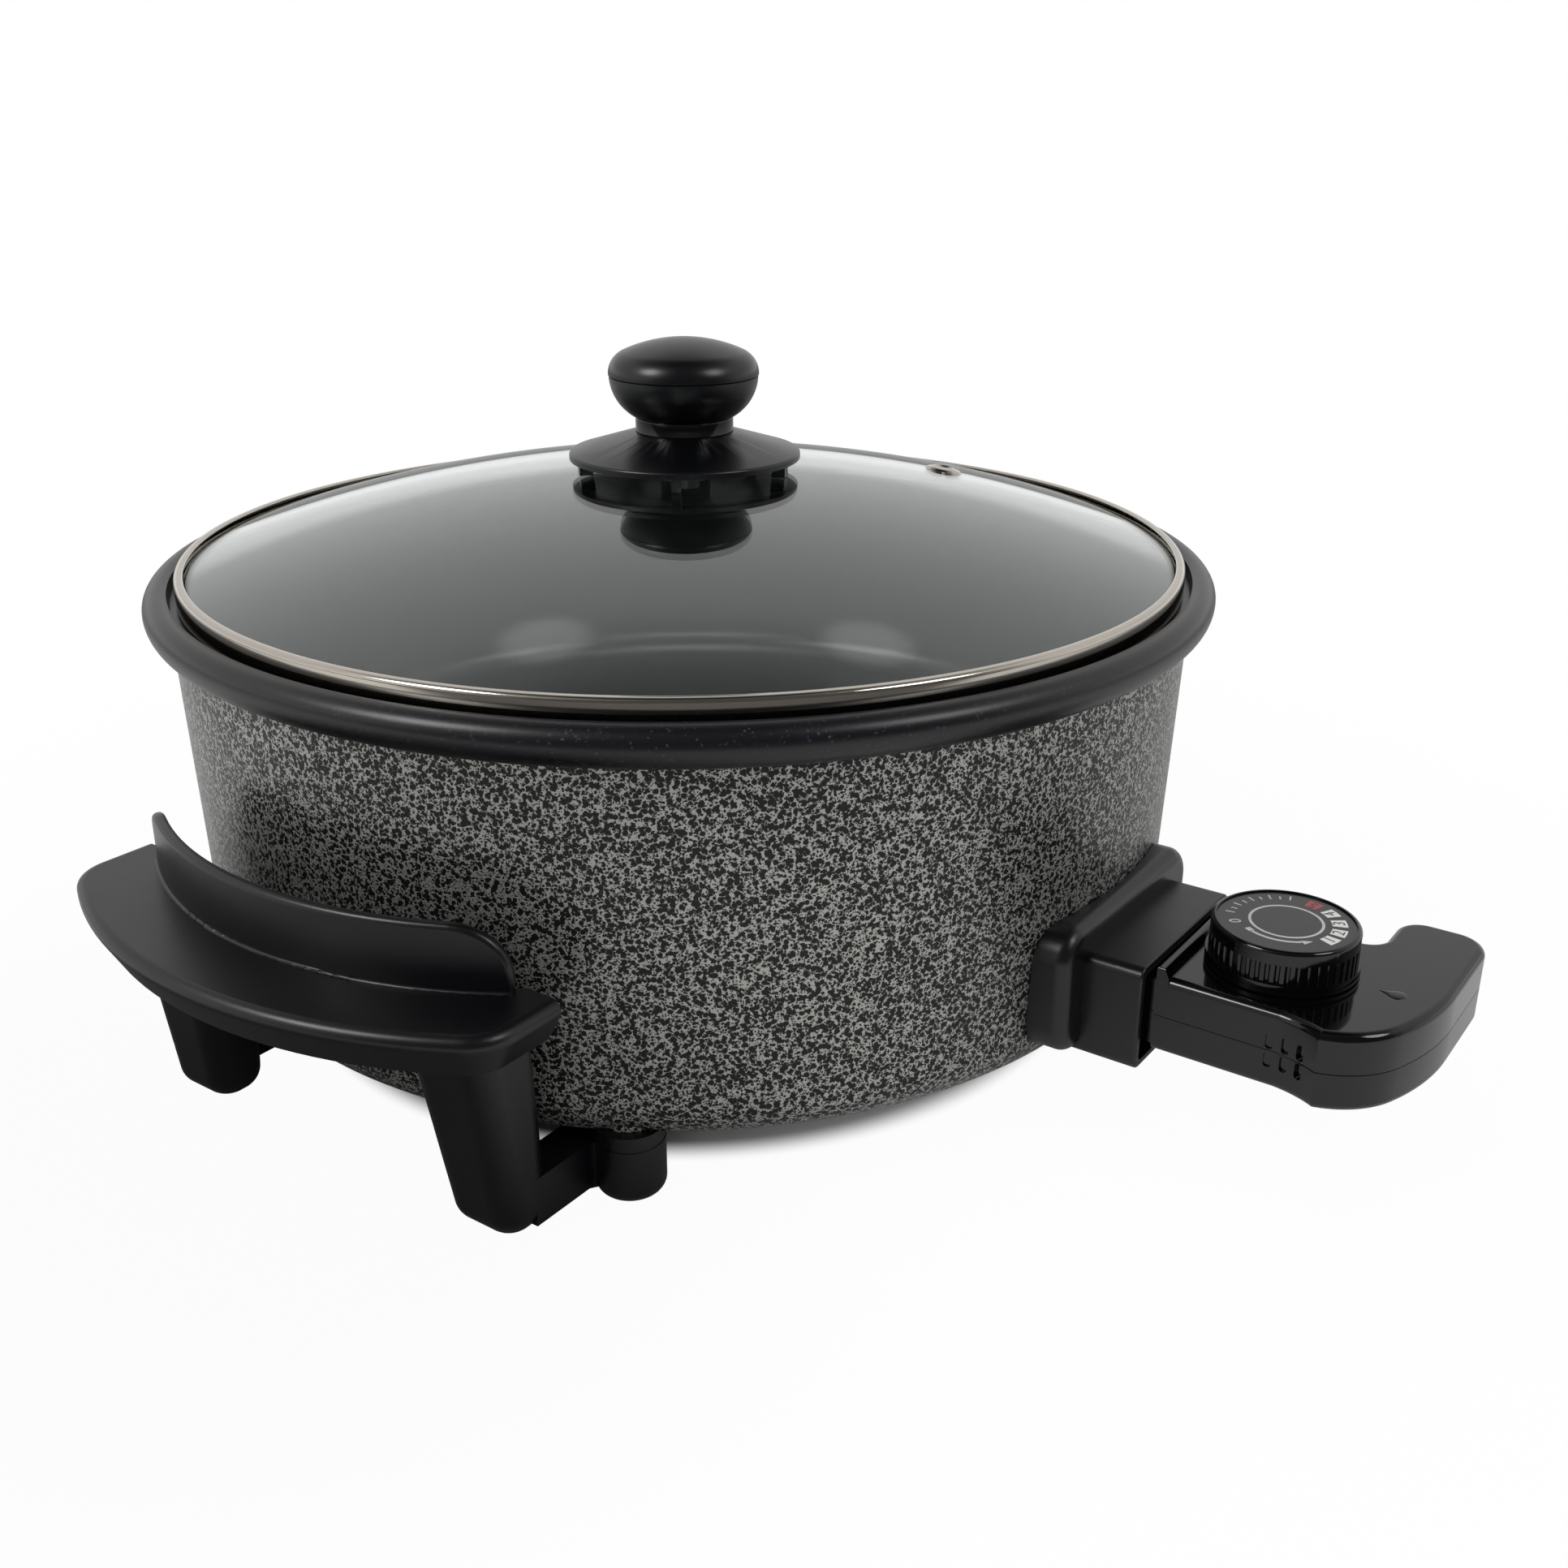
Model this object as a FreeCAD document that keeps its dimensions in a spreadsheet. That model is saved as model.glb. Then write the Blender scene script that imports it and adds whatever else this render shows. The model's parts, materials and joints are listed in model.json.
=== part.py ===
"""Electric skillet: cast pan on two moulded side handles, glass lid and plug-in thermostat.

The origin is on the pan's axis at the table, +Z up, the thermostat along +X and the handles along -Y
and +Y. Lengths are millimetres and angles are degrees.
"""

import FreeCAD, Part
import math
import operator
import os
from collections import namedtuple
from types import SimpleNamespace

import Sketcher

SHEET_NAME = "Sizes"
SAME_PLACE = 0.01

DRIVING_SIZES = {
    # Pan casting
    "rim_radius": 170.0,
    "rim_height": 138.0,
    "rim_crown": 5.0,
    "rim_lip_radius_in": 7.4,
    "wall_top_radius_in": 7.5,
    "wall_foot_radius_in": 3.8,
    "wall_foot_height": 31.5,
    "wall_foot_round": 14.5,
    "ledge_height_up": 1.0,
    "lid_pocket_radius_in": 0.7,
    "mouth_radius_in": 5.0,
    "floor_radius_in": 3.2,
    "floor_round": 11.0,
    "floor_height": 60.0,
    "floor_thickness": 5.0,
    "floor_play": 0.05,
    "skirt_radius_in": 8.7,
    "skirt_inner_radius_in": 4.7,
    "skirt_step": 5.0,
    # Heating element and its seat
    "element_ring_radius_in": 18.0,
    "element_radius": 4.0,
    "element_bend": 14.0,
    "element_height_down": 16.0,
    "element_play": 0.05,
    "rib_width": 20.0,
    "rib_grip": 2.0,
    "lead_offset": 13.0,
    "lead_end_in": 0.7,
    "lead_clearance": 2.0,
    "bend_clearance": 5.0,
    # Live pins
    "pin_radius": 3.0,
    "pin_end_out": 21.8,
    "pin_tip_round": 1.5,
    "insulator_radius": 4.5,
    "insulator_play": 0.05,
    "insulator_end_out": 7.3,
    "plate_thickness": 1.2,
    "plate_half_width": 28.0,
    "plate_low_down": 11.0,
    "plate_high_up": 11.0,
    "hole_play": 0.1,
    # Probe well under the floor
    "well_half_width": 6.5,
    "well_low_down": 6.0,
    "well_start_in": 63.7,
    "well_wall": 5.0,
    "probe_play": 0.3,
    "window_half_width": 18.5,
    "window_low_down": 10.0,
    "window_high_up": 10.0,
    "window_round": 4.0,
    # Socket shroud on the wall
    "flange_front_out": 7.0,
    "flange_half_width": 41.7,
    "flange_low_down": 17.0,
    "flange_high_up": 22.5,
    "flange_corner": 10.0,
    "flange_round": 4.5,
    "socket_front_out": 24.6,
    "socket_back_out": 4.8,
    "socket_half_width": 31.4,
    "socket_low_down": 18.0,
    "socket_high_up": 14.0,
    "socket_wall": 2.2,
    "socket_corner": 3.0,
    "socket_round": 0.8,
    "seat_gap": 0.3,
    "shroud_screw_offset": 24.3,
    "shroud_screw_radius": 2.0,
    "shroud_screw_head": 3.6,
    "shroud_screw_head_depth": 2.3,
    "shroud_screw_length": 13.0,
    # Side handles, measured along and across the handle's own axis
    "shelf_top": 74.0,
    "shelf_bottom": 61.5,
    "shelf_inner_in": 0.7,
    "shelf_reach_out": 45.2,
    "shelf_arc": 143.0,
    "shelf_half_length": 78.5,
    "shelf_corner": 10.0,
    "shelf_draft": 28.0,
    "shelf_round": 3.0,
    "guard_reach_out": 27.0,
    "guard_arc": 126.0,
    "guard_thickness": 3.5,
    "guard_half_length": 71.0,
    "guard_top": 92.8,
    "guard_corner": 14.0,
    "guard_round": 1.6,
    "guard_base_round": 1.0,
    "leg_inner_in": 7.0,
    "leg_reach_top_out": 19.0,
    "leg_reach_foot_out": 10.0,
    "leg_side": 71.5,
    "leg_width_top": 31.0,
    "leg_width_foot": 25.0,
    "leg_corner": 8.0,
    "leg_foot_round": 7.0,
    "leg_rise": 4.0,
    "leg_window_foot_in": 3.4,
    "leg_window_top_out": 0.6,
    "web_height": 16.5,
    "web_lift": 2.0,
    "web_width": 12.0,
    "foot_radius": 10.0,
    "foot_height": 17.0,
    "foot_round": 4.0,
    "foot_circle_radius_in": 8.7,
    "foot_angle": 31.4,
    "handle_screw_radius": 2.5,
    "handle_screw_head": 4.3,
    "handle_screw_head_depth": 3.2,
    "handle_screw_bite": 14.0,
    "handle_screw_seat": 8.0,
    "boss_radius": 8.0,
    "screw_play": 0.05,
    "screw_passage": 0.2,
    # Base cover
    "cover_radius_in": 11.0,
    "cover_thickness": 1.0,
    "cover_height": 20.0,
    "cover_flange": 6.0,
    "cover_vent_radius": 55.0,
    "cover_vent_length": 30.0,
    "cover_vent_width": 5.0,
    "cover_vent_corner": 2.25,
    "cover_vent_count": 12,
    "cover_post_circle_in": 11.0,
    "cover_post_radius": 4.5,
    "cover_post_azimuth": 60.0,
    "cover_screw_radius": 1.9,
    "cover_screw_head": 3.8,
    "cover_screw_head_depth": 2.4,
    "cover_screw_bite": 11.0,
    # Lid
    "ring_radius_in": 1.8,
    "ring_lift": 0.3,
    "ring_height": 8.1,
    "ring_round": 1.5,
    "ring_wall": 1.0,
    "ring_low_lip": 1.4,
    "ring_low_reach": 3.6,
    "ring_top_reach": 5.1,
    "glass_lift": 6.2027,
    "glass_arc": 499.2,
    "glass_thickness": 4.0,
    "glass_edge_radius_in": 1.7,
    "glass_hole_radius": 4.0,
    "vent_circle_radius": 96.0,
    "vent_azimuth": 60.0,
    "vent_bore": 2.4,
    "vent_barrel": 3.6,
    "vent_flange": 6.5,
    "vent_proud": 1.5,
    "vent_lip": 0.8,
    "vent_play": 0.05,
    # Knob
    "skirt_edge_radius": 38.0,
    "skirt_edge_lift": 6.75,
    "skirt_top_radius": 15.5,
    "skirt_rise": 6.7,
    "skirt_thickness": 2.0,
    "skirt_boss_radius": 8.5,
    "skirt_rib_inner": 31.0,
    "skirt_rib_outer": 35.5,
    "skirt_rib_width": 3.0,
    "skirt_rib_count": 5,
    "skirt_rib_azimuth": -56.5,
    "skirt_edge_round": 0.9,
    "collar_radius": 15.6,
    "collar_height": 4.3,
    "grip_neck_radius": 15.7,
    "grip_radius": 24.5,
    "grip_flank_height": 12.8,
    "grip_crown_height": 11.6,
    "grip_bowl_round": 6.0,
    "grip_bowl_turn": 40.0,
    "grip_crown_round": 7.5,
    "grip_seam": 0.6,
    "knob_screw_radius": 2.5,
    "knob_screw_head": 4.5,
    "knob_screw_head_depth": 2.6,
    "knob_screw_bite": 12.0,
    "washer_radius": 8.0,
    "washer_thickness": 1.0,
    "gasket_radius": 9.0,
    "gasket_thickness": 1.2,
    # Thermostat housing
    "case_low_down": 11.5,
    "case_high_up": 12.0,
    "case_start_out": 27.3,
    "case_wall": 2.0,
    "case_round": 2.5,
    "lip_crest": 2.2,
    "lip_slope": 1.4,
    "lip_height": 3.0,
    "lip_round": 0.7,
    "side_vent_start_out": 60.6,
    "side_vent_pitch": 4.5,
    "side_vent_width": 2.2,
    "side_vent_height": 4.8,
    "side_vent_corner": 1.0,
    "side_vent_land": 0.4,
    "side_vent_depth": 8.0,
    "neck_half_width": 28.0,
    "neck_end_out": 62.3,
    "head_end_out": 97.9,
    "head_far_side": 49.5,
    "head_back_out": 72.3,
    "neck_far_side": 26.8,
    "neck_flare_arc": 30.0,
    "head_turn_arc": 26.0,
    "head_turn_angle": 22.6,
    "head_corner_angle": 75.4,
    "head_side_start": 12.0,
    "head_side_arc": 75.0,
    "head_far_corner": 9.5,
    "head_back_corner": 8.0,
    "head_scoop": 6.5,
    "neck_post_place_out": 45.3,
    "neck_post_offset": 21.0,
    "head_post_place_out": 84.3,
    "head_post_offset": 25.0,
    "nose_low_down": 10.0,
    "nose_high_up": 10.0,
    "nose_start_out": 14.3,
    "nose_half_width": 26.5,
    "tongue_start_out": 7.8,
    "tongue_half_width": 19.0,
    "nose_round": 1.5,
    "case_post_radius": 4.5,
    "case_screw_radius": 1.5,
    "case_screw_head": 2.8,
    "case_screw_head_depth": 2.5,
    "case_screw_bite": 6.0,
    "case_screw_seat": 3.0,
    # Probe and switch
    "probe_radius": 3.175,
    "probe_bore": 2.4,
    "probe_start_in": 57.2,
    "probe_tip_round": 1.5,
    "probe_tip_wall": 2.0,
    "probe_end_out": 37.3,
    "rod_radius": 1.5,
    "rod_end_out": 39.8,
    "sleeve_radius": 4.0,
    "sleeve_bore": 3.1,
    "sleeve_start_out": 9.3,
    "sleeve_end_out": 39.3,
    "block_start_out": 18.3,
    "block_end_out": 32.3,
    "block_half_width": 20.0,
    "block_low_down": 7.0,
    "block_high_up": 7.0,
    "bridge_start_out": 34.3,
    "bridge_end_out": 59.3,
    "bridge_sheet": 1.5,
    "bridge_top_up": 7.0,
    "bridge_half_width": 8.5,
    "bridge_leg_start_out": 48.3,
    "bridge_leg_end_out": 57.3,
    "nut_radius": 4.5,
    "nut_depth": 4.0,
    "strip_thickness": 0.8,
    "strip_width": 6.0,
    "blade_thickness": 0.4,
    "blade_end_out": 68.3,
    "blade_post_radius": 4.0,
    "contact_place_out": 43.8,
    "contact_radius": 2.0,
    "contact_height": 1.0,
    "contact_gap": 0.2,
    "earth_leaf": 0.5,
    "earth_half_width": 4.0,
    "earth_low_down": 12.5,
    "earth_slot_play": 0.3,
    # Cord inlet
    "inlet_place_out": 85.3,
    "inlet_radius": 5.5,
    "inlet_bore": 3.7,
    "inlet_depth": 13.0,
    "inlet_proud": 1.0,
    "inlet_flange": 1.8,
    "inlet_flange_gap": 1.6,
    # Dial and adjusting screw
    "dial_place_out": 52.6,
    "dial_radius": 20.5,
    "dial_foot_radius": 21.3,
    "dial_foot_height": 3.0,
    "dial_foot_ring": 1.1,
    "dial_foot_notch": 0.6,
    "dial_groove_count": 48,
    "dial_groove_radius": 0.85,
    "dial_groove_offset": 0.35,
    "dial_groove_height": 5.8,
    "dial_top_up": 13.5,
    "dial_lift": 0.5,
    "dial_round": 1.2,
    "dial_wall": 2.0,
    "dial_hub_radius": 6.0,
    "dial_hub_drop": 4.0,
    "dial_hub_play": 0.1,
    "dial_disc_radius": 19.0,
    "dial_disc_thickness": 0.6,
    "dial_disc_drop": 0.5,
    "screw_radius": 2.5,
    "screw_running_play": 0.04,
    "screw_gap": 0.8,
    "spline_flat": 3.2,
    "spline_play": 0.08,
    "spline_top_up": 9.0,
    "spline_travel": 1.5,
}

# Each of these is measured from the size before it: "in" and "down" lie inside and below it,
# "out" and "up" outside and above it. The name without its last word is the place itself.
MEASURED_FROM = {
    "rim_radius": [
        "rim_lip_radius_in", "wall_top_radius_in",
    ],
    "rim_height": [
        "ledge_height_up",
    ],
    "rim_lip_radius": [
        "lid_pocket_radius_in",
    ],
    "lid_pocket_radius": [
        "ring_radius_in",
    ],
    "ring_radius": [
        "glass_edge_radius_in",
    ],
    "wall_top_radius": [
        "wall_foot_radius_in", "mouth_radius_in",
    ],
    "wall_foot_radius": [
        "floor_radius_in", "skirt_radius_in", "skirt_inner_radius_in", "foot_circle_radius_in",
        "shelf_inner_in", "well_start_in", "probe_start_in", "lead_end_in", "socket_back_out",
        "flange_front_out", "socket_front_out", "insulator_end_out", "pin_end_out",
        "tongue_start_out", "sleeve_start_out", "nose_start_out", "block_start_out",
        "case_start_out", "block_end_out", "bridge_start_out", "probe_end_out", "sleeve_end_out",
        "rod_end_out", "contact_place_out", "neck_post_place_out", "bridge_leg_start_out",
        "dial_place_out", "bridge_leg_end_out", "bridge_end_out", "side_vent_start_out",
        "neck_end_out", "blade_end_out", "head_back_out", "head_post_place_out", "inlet_place_out",
        "head_end_out",
    ],
    "skirt_radius": [
        "cover_radius_in",
    ],
    "cover_radius": [
        "cover_post_circle_in",
    ],
    "shelf_inner": [
        "leg_inner_in", "leg_window_foot_in", "leg_window_top_out", "leg_reach_foot_out",
        "leg_reach_top_out", "guard_reach_out", "shelf_reach_out",
    ],
    "cover_post_circle": [
        "element_ring_radius_in",
    ],
    "floor_height": [
        "element_height_down",
    ],
    "element_height": [
        "earth_low_down", "case_low_down", "plate_low_down", "nose_low_down", "window_low_down",
        "block_low_down", "well_low_down", "socket_low_down", "flange_low_down", "block_high_up",
        "bridge_top_up", "nose_high_up", "window_high_up", "plate_high_up", "case_high_up",
        "socket_high_up", "flange_high_up",
    ],
    "case_high": [
        "spline_top_up", "dial_top_up",
    ],
}

V = FreeCAD.Vector
Circle = namedtuple("Circle", "x y radius")


class Size:
    """A number with the sheet expression that gives it, so that what is drawn stays bound."""

    ACTIONS = {"+": operator.add, "-": operator.sub, "*": operator.mul, "/": operator.truediv}

    def __init__(self, value, text):
        self.value = value
        self.text = text

    @staticmethod
    def combine(left, sign, right):
        value = Size.ACTIONS[sign](number(left), number(right))
        return Size(value, "(%s %s %s)" % (wording(left), sign, wording(right)))

    def __add__(self, other):
        return Size.combine(self, "+", other)

    def __radd__(self, other):
        return Size.combine(other, "+", self)

    def __sub__(self, other):
        return Size.combine(self, "-", other)

    def __rsub__(self, other):
        return Size.combine(other, "-", self)

    def __mul__(self, other):
        return Size.combine(self, "*", other)

    def __rmul__(self, other):
        return Size.combine(other, "*", self)

    def __truediv__(self, other):
        return Size.combine(self, "/", other)

    def __neg__(self):
        return Size.combine(0, "-", self)


def number(value):
    return float(value.value) if isinstance(value, Size) else float(value)


def wording(value):
    return value.text if isinstance(value, Size) else repr(float(value))


def cosine(angle):
    return Size(math.cos(math.radians(number(angle))), "cos(%s)" % wording(angle))


def sine(angle):
    return Size(math.sin(math.radians(number(angle))), "sin(%s)" % wording(angle))


def arc_sine(ratio):
    return Size(math.degrees(math.asin(number(ratio))), "asin(%s)" % wording(ratio))


def other_leg(hypotenuse, leg):
    """The second short side of a right-angled triangle."""
    value = math.sqrt(number(hypotenuse) ** 2 - number(leg) ** 2)
    return Size(value, "sqrt(pow(%s; 2) - pow(%s; 2))" % (wording(hypotenuse), wording(leg)))


def make_sheet(document):
    """Writes the driving sizes into the sheet and returns them as bound sizes."""
    sheet = document.addObject("Spreadsheet::Sheet", SHEET_NAME)
    for row, (name, value) in enumerate(DRIVING_SIZES.items(), start=1):
        sheet.set("A%d" % row, name)
        sheet.set("B%d" % row, str(value))
        sheet.setAlias("B%d" % row, name)
    document.recompute()
    bound = {name: Size(sheet.get(name), "%s.%s" % (SHEET_NAME, name)) for name in DRIVING_SIZES}
    return place_sizes(SimpleNamespace(**bound))


def place_sizes(S):
    """Adds each place that is measured from another size."""
    for base, names in MEASURED_FROM.items():
        for name in names:
            place, way = name.rsplit("_", 1)
            start, offset = getattr(S, base), getattr(S, name)
            setattr(S, place, start + offset if way in ("out", "up") else start - offset)
    sagitta = S.glass_arc - other_leg(S.glass_arc, S.glass_edge_radius)
    S.glass_apex = S.ledge_height + S.glass_lift + sagitta
    S.rib_depth = S.floor_height - S.floor_thickness - S.element_height + S.rib_grip
    return S


def new_body(document, label, separate_solids=False):
    body = document.addObject("PartDesign::Body", label)
    body.Label = label
    body.AllowCompound = separate_solids
    return body


def bind(feature, path, size):
    feature.setExpression(path, wording(size))


def origin_part(body, role):
    return next(item for item in body.Origin.OriginFeatures if item.Role == role)


def arc_between(start, end, radius):
    """An arc from start to end, with its centre on the left for a positive radius.

    A sketch keeps every arc anticlockwise, so one with its centre on the right is stored from end
    to start."""
    chord = end - start
    half = chord.Length / 2
    left = V(-chord.y, chord.x, 0).normalize()
    rise = math.sqrt(max(radius * radius - half * half, 0.0))
    centre = (start + end) * 0.5 + left * math.copysign(rise, radius)
    first, last = (start, end) if radius > 0 else (end, start)
    angles = [math.atan2(point.y - centre.y, point.x - centre.x) for point in (first, last)]
    circle = Part.Circle(centre, V(0, 0, 1), abs(radius))
    return Part.ArcOfCircle(circle, angles[0], angles[1])


def pin_point(drawing, geometry, end, x, y):
    """Holds one end of a sketch element at x, y from the sketch's origin."""
    for kind, size in (("DistanceX", x), ("DistanceY", y)):
        index = drawing.addConstraint(Sketcher.Constraint(kind, -1, 1, geometry, end, number(size)))
        if isinstance(size, Size):
            drawing.setExpression("Constraints[%d]" % index, size.text)


def hold_radius(drawing, geometry, radius):
    index = drawing.addConstraint(Sketcher.Constraint("Radius", geometry, abs(number(radius))))
    if isinstance(radius, Size):
        drawing.setExpression("Constraints[%d]" % index, "abs(%s)" % radius.text)


def draw_circle(drawing, circle):
    middle = V(number(circle.x), number(circle.y), 0)
    shape = Part.Circle(middle, V(0, 0, 1), number(circle.radius))
    index = drawing.addGeometry(shape, False)
    pin_point(drawing, index, 3, circle.x, circle.y)
    hold_radius(drawing, index, circle.radius)


def draw_corners(drawing, corners, closed=True):
    """Draws lines and arcs through corners: (x, y) after a line, (x, y, radius) after an arc."""
    points = [V(number(corner[0]), number(corner[1]), 0) for corner in corners]
    runs = list(zip(range(len(corners) - 1), range(1, len(corners))))
    if closed:
        runs.append((len(corners) - 1, 0))
    starts = {}
    ends = {}
    for start, end in runs:
        corner = corners[end]
        if len(corner) == 3:
            shape = arc_between(points[start], points[end], number(corner[2]))
            forward = number(corner[2]) > 0
        else:
            shape = Part.LineSegment(points[start], points[end])
            forward = True
        index = drawing.addGeometry(shape, False)
        starts[start] = (index, 1 if forward else 2)
        ends[end] = (index, 2 if forward else 1)
    for place, corner in enumerate(corners):
        meeting = [side[place] for side in (ends, starts) if place in side]
        if len(meeting) == 2:
            drawing.addConstraint(Sketcher.Constraint("Coincident", *meeting[0], *meeting[1]))
        pin_point(drawing, *meeting[0], corner[0], corner[1])
    for place, corner in enumerate(corners):
        if len(corner) == 3:
            hold_radius(drawing, ends[place][0], corner[2])


def draw(body, name, role, loops, lift=0, closed=True):
    """A sketch on one of the body's origin planes, lifted along the plane's normal."""
    drawing = body.newObject("Sketcher::SketchObject", name)
    drawing.AttachmentSupport = [(origin_part(body, role), "")]
    drawing.MapMode = "FlatFace"
    bind(drawing, "AttachmentOffset.Base.z", lift)
    for loop in loops:
        if isinstance(loop, Circle):
            draw_circle(drawing, loop)
        else:
            draw_corners(drawing, loop, closed)
    return drawing


def pad(body, name, role, loops, low, high, draft=None):
    """Adds the loops' prism between two distances along the plane's normal."""
    drawing = draw(body, name + "Outline", role, loops, low)
    feature = body.newObject("PartDesign::Pad", name)
    feature.Profile = drawing
    bind(feature, "Length", high - low)
    if draft is not None:
        bind(feature, "TaperAngle", draft)
    return feature


def pocket(body, name, role, loops, low, high):
    """Cuts the loops' prism between two distances along the plane's normal."""
    drawing = draw(body, name + "Outline", role, loops, low)
    feature = body.newObject("PartDesign::Pocket", name)
    feature.Profile = drawing
    feature.Reversed = True
    bind(feature, "Length", high - low)
    return feature


def revolve(body, name, loops, axis="V_Axis", kind="Revolution"):
    """Turns loops in the XZ plane about the vertical axis, or about another line of the sketch."""
    drawing = draw(body, name + "Profile", "XZ_Plane", loops)
    feature = body.newObject("PartDesign::" + kind, name)
    feature.Profile = drawing
    feature.ReferenceAxis = (drawing, [axis])
    feature.Angle = 360
    return feature


def polar(body, name, feature, count):
    pattern = body.newObject("PartDesign::PolarPattern", name)
    pattern.Originals = [feature]
    pattern.Axis = (origin_part(body, "Z_Axis"), [""])
    pattern.Angle = 360
    bind(pattern, "Occurrences", count)
    body.Tip = pattern
    return pattern


def mirror(body, name, features, role="XZ_Plane"):
    copy = body.newObject("PartDesign::Mirrored", name)
    copy.Originals = features
    copy.MirrorPlane = (origin_part(body, role), [""])
    body.Tip = copy
    return copy


def round_edges(body, name, radius, chosen):
    """Rounds the edges of the body that the test picks."""
    body.Document.recompute()
    base = body.Tip
    names = ["Edge%d" % count for count, edge in enumerate(base.Shape.Edges, start=1) if chosen(edge)]
    feature = body.newObject("PartDesign::Fillet", name)
    feature.Base = (base, names)
    bind(feature, "Radius", radius)
    return feature


def lies_at(edge, axis, place):
    """Whether the whole edge lies at one place along an axis."""
    box = edge.BoundBox
    low = getattr(box, axis + "Min")
    high = getattr(box, axis + "Max")
    return abs(low - number(place)) < SAME_PLACE and abs(high - number(place)) < SAME_PLACE


def reaches_to(edge, place):
    """Whether the edge's furthest point along X is at a place."""
    return abs(edge.BoundBox.XMax - number(place)) < SAME_PLACE


def turn_body(body, azimuth):
    body.Placement = FreeCAD.Placement(V(0, 0, 0), FreeCAD.Rotation(V(0, 0, 1), number(azimuth)))


def rectangle(left, right, low, high):
    return [(left, low), (right, low), (right, high), (left, high)]


def rounded_rectangle(left, right, low, high, radius):
    return [
        (right - radius, low),
        (right, low + radius, radius),
        (right, high - radius),
        (right - radius, high, radius),
        (left + radius, high),
        (left, high - radius, radius),
        (left, low + radius),
        (left + radius, low, radius),
    ]


def glass_top_at(S, radius):
    """Height of the glass dome's outer face at a distance from the axis."""
    return S.glass_apex - S.glass_arc + other_leg(S.glass_arc, radius)


def glass_under_at(S, radius):
    return S.glass_apex - S.glass_arc + other_leg(S.glass_arc - S.glass_thickness, radius)


def wall_radius_at(S, height):
    """Radius of the pan's outer wall at a height between its foot and the rim."""
    lean = (S.wall_top_radius - S.wall_foot_radius) / (rim_foot_height(S) - S.wall_foot_height)
    return S.wall_foot_radius + (height - S.wall_foot_height) * lean


def rim_foot_height(S):
    return S.rim_height - (S.rim_radius - S.wall_top_radius)


def underside_height(S):
    return S.floor_height - S.floor_thickness


def foot_places(S, handle_azimuths=(-90, 90)):
    """Centres of the four inner feet, which are also the pan's base bosses."""
    places = []
    for azimuth in handle_azimuths:
        for side in (-1, 1):
            angle = azimuth + side * S.foot_angle
            places.append((S.foot_circle_radius * cosine(angle), S.foot_circle_radius * sine(angle)))
    return places


def cover_post_places(S):
    """Three posts a third of a turn apart."""
    angles = [S.cover_post_azimuth + 120 * step for step in range(3)]
    return [(S.cover_post_circle * cosine(angle), S.cover_post_circle * sine(angle)) for angle in angles]


def floor_edge_radius(S):
    """Where the flat floor meets the round that leads up into the wall."""
    return S.floor_radius - S.floor_round


def pan_body(document, S):
    """The casting's wall: rolled rim, tapered side, round to the floor and hollow skirt with bosses."""
    body = new_body(document, "pan_body")
    bulge = S.rim_radius - S.wall_top_radius
    lip_height = S.rim_height + other_leg(S.rim_crown, S.rim_radius - S.rim_crown - S.rim_lip_radius)
    round_centre = S.wall_foot_radius - S.wall_foot_round
    skirt_tip = S.wall_foot_height - other_leg(S.wall_foot_round, S.skirt_radius - round_centre)
    underside = underside_height(S)
    section = [
        (floor_edge_radius(S), S.floor_height),
        (S.floor_radius, S.floor_height + S.floor_round, S.floor_round),
        (S.mouth_radius, S.ledge_height),
        (S.lid_pocket_radius, S.ledge_height),
        (S.rim_lip_radius, lip_height),
        (S.rim_radius, S.rim_height, -S.rim_crown),
        (S.wall_top_radius, rim_foot_height(S), -bulge),
        (S.wall_foot_radius, S.wall_foot_height),
        (S.skirt_radius, skirt_tip, -S.wall_foot_round),
        (S.skirt_radius, S.wall_foot_height),
        (S.skirt_inner_radius, S.wall_foot_height + S.skirt_step),
        (S.skirt_inner_radius, underside),
        (floor_edge_radius(S), underside),
    ]
    revolve(body, "Casting", [section])
    window = rounded_rectangle(
        -S.window_half_width, S.window_half_width, S.window_low, S.window_high, S.window_round
    )
    inside_skirt = S.skirt_radius - S.boss_radius
    pocket(body, "LeadWindow", "YZ_Plane", [window], inside_skirt, S.wall_top_radius + S.lead_clearance)
    bosses = [Circle(x, y, S.boss_radius) for x, y in foot_places(S)]
    pad(body, "BaseBosses", "XY_Plane", bosses, S.foot_height, underside)
    threads = [Circle(x, y, S.handle_screw_radius + S.screw_play) for x, y in foot_places(S)]
    bite = S.foot_height + S.handle_screw_bite + S.screw_passage
    pocket(body, "BossThreads", "XY_Plane", threads, S.foot_height - S.seat_gap, bite)
    taps = [
        Circle(side * S.shroud_screw_offset, S.element_height, S.shroud_screw_radius + S.screw_play)
        for side in (-1, 1)
    ]
    pocket(body, "ShroudThreads", "YZ_Plane", taps, inside_skirt, S.wall_top_radius)
    return body


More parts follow.
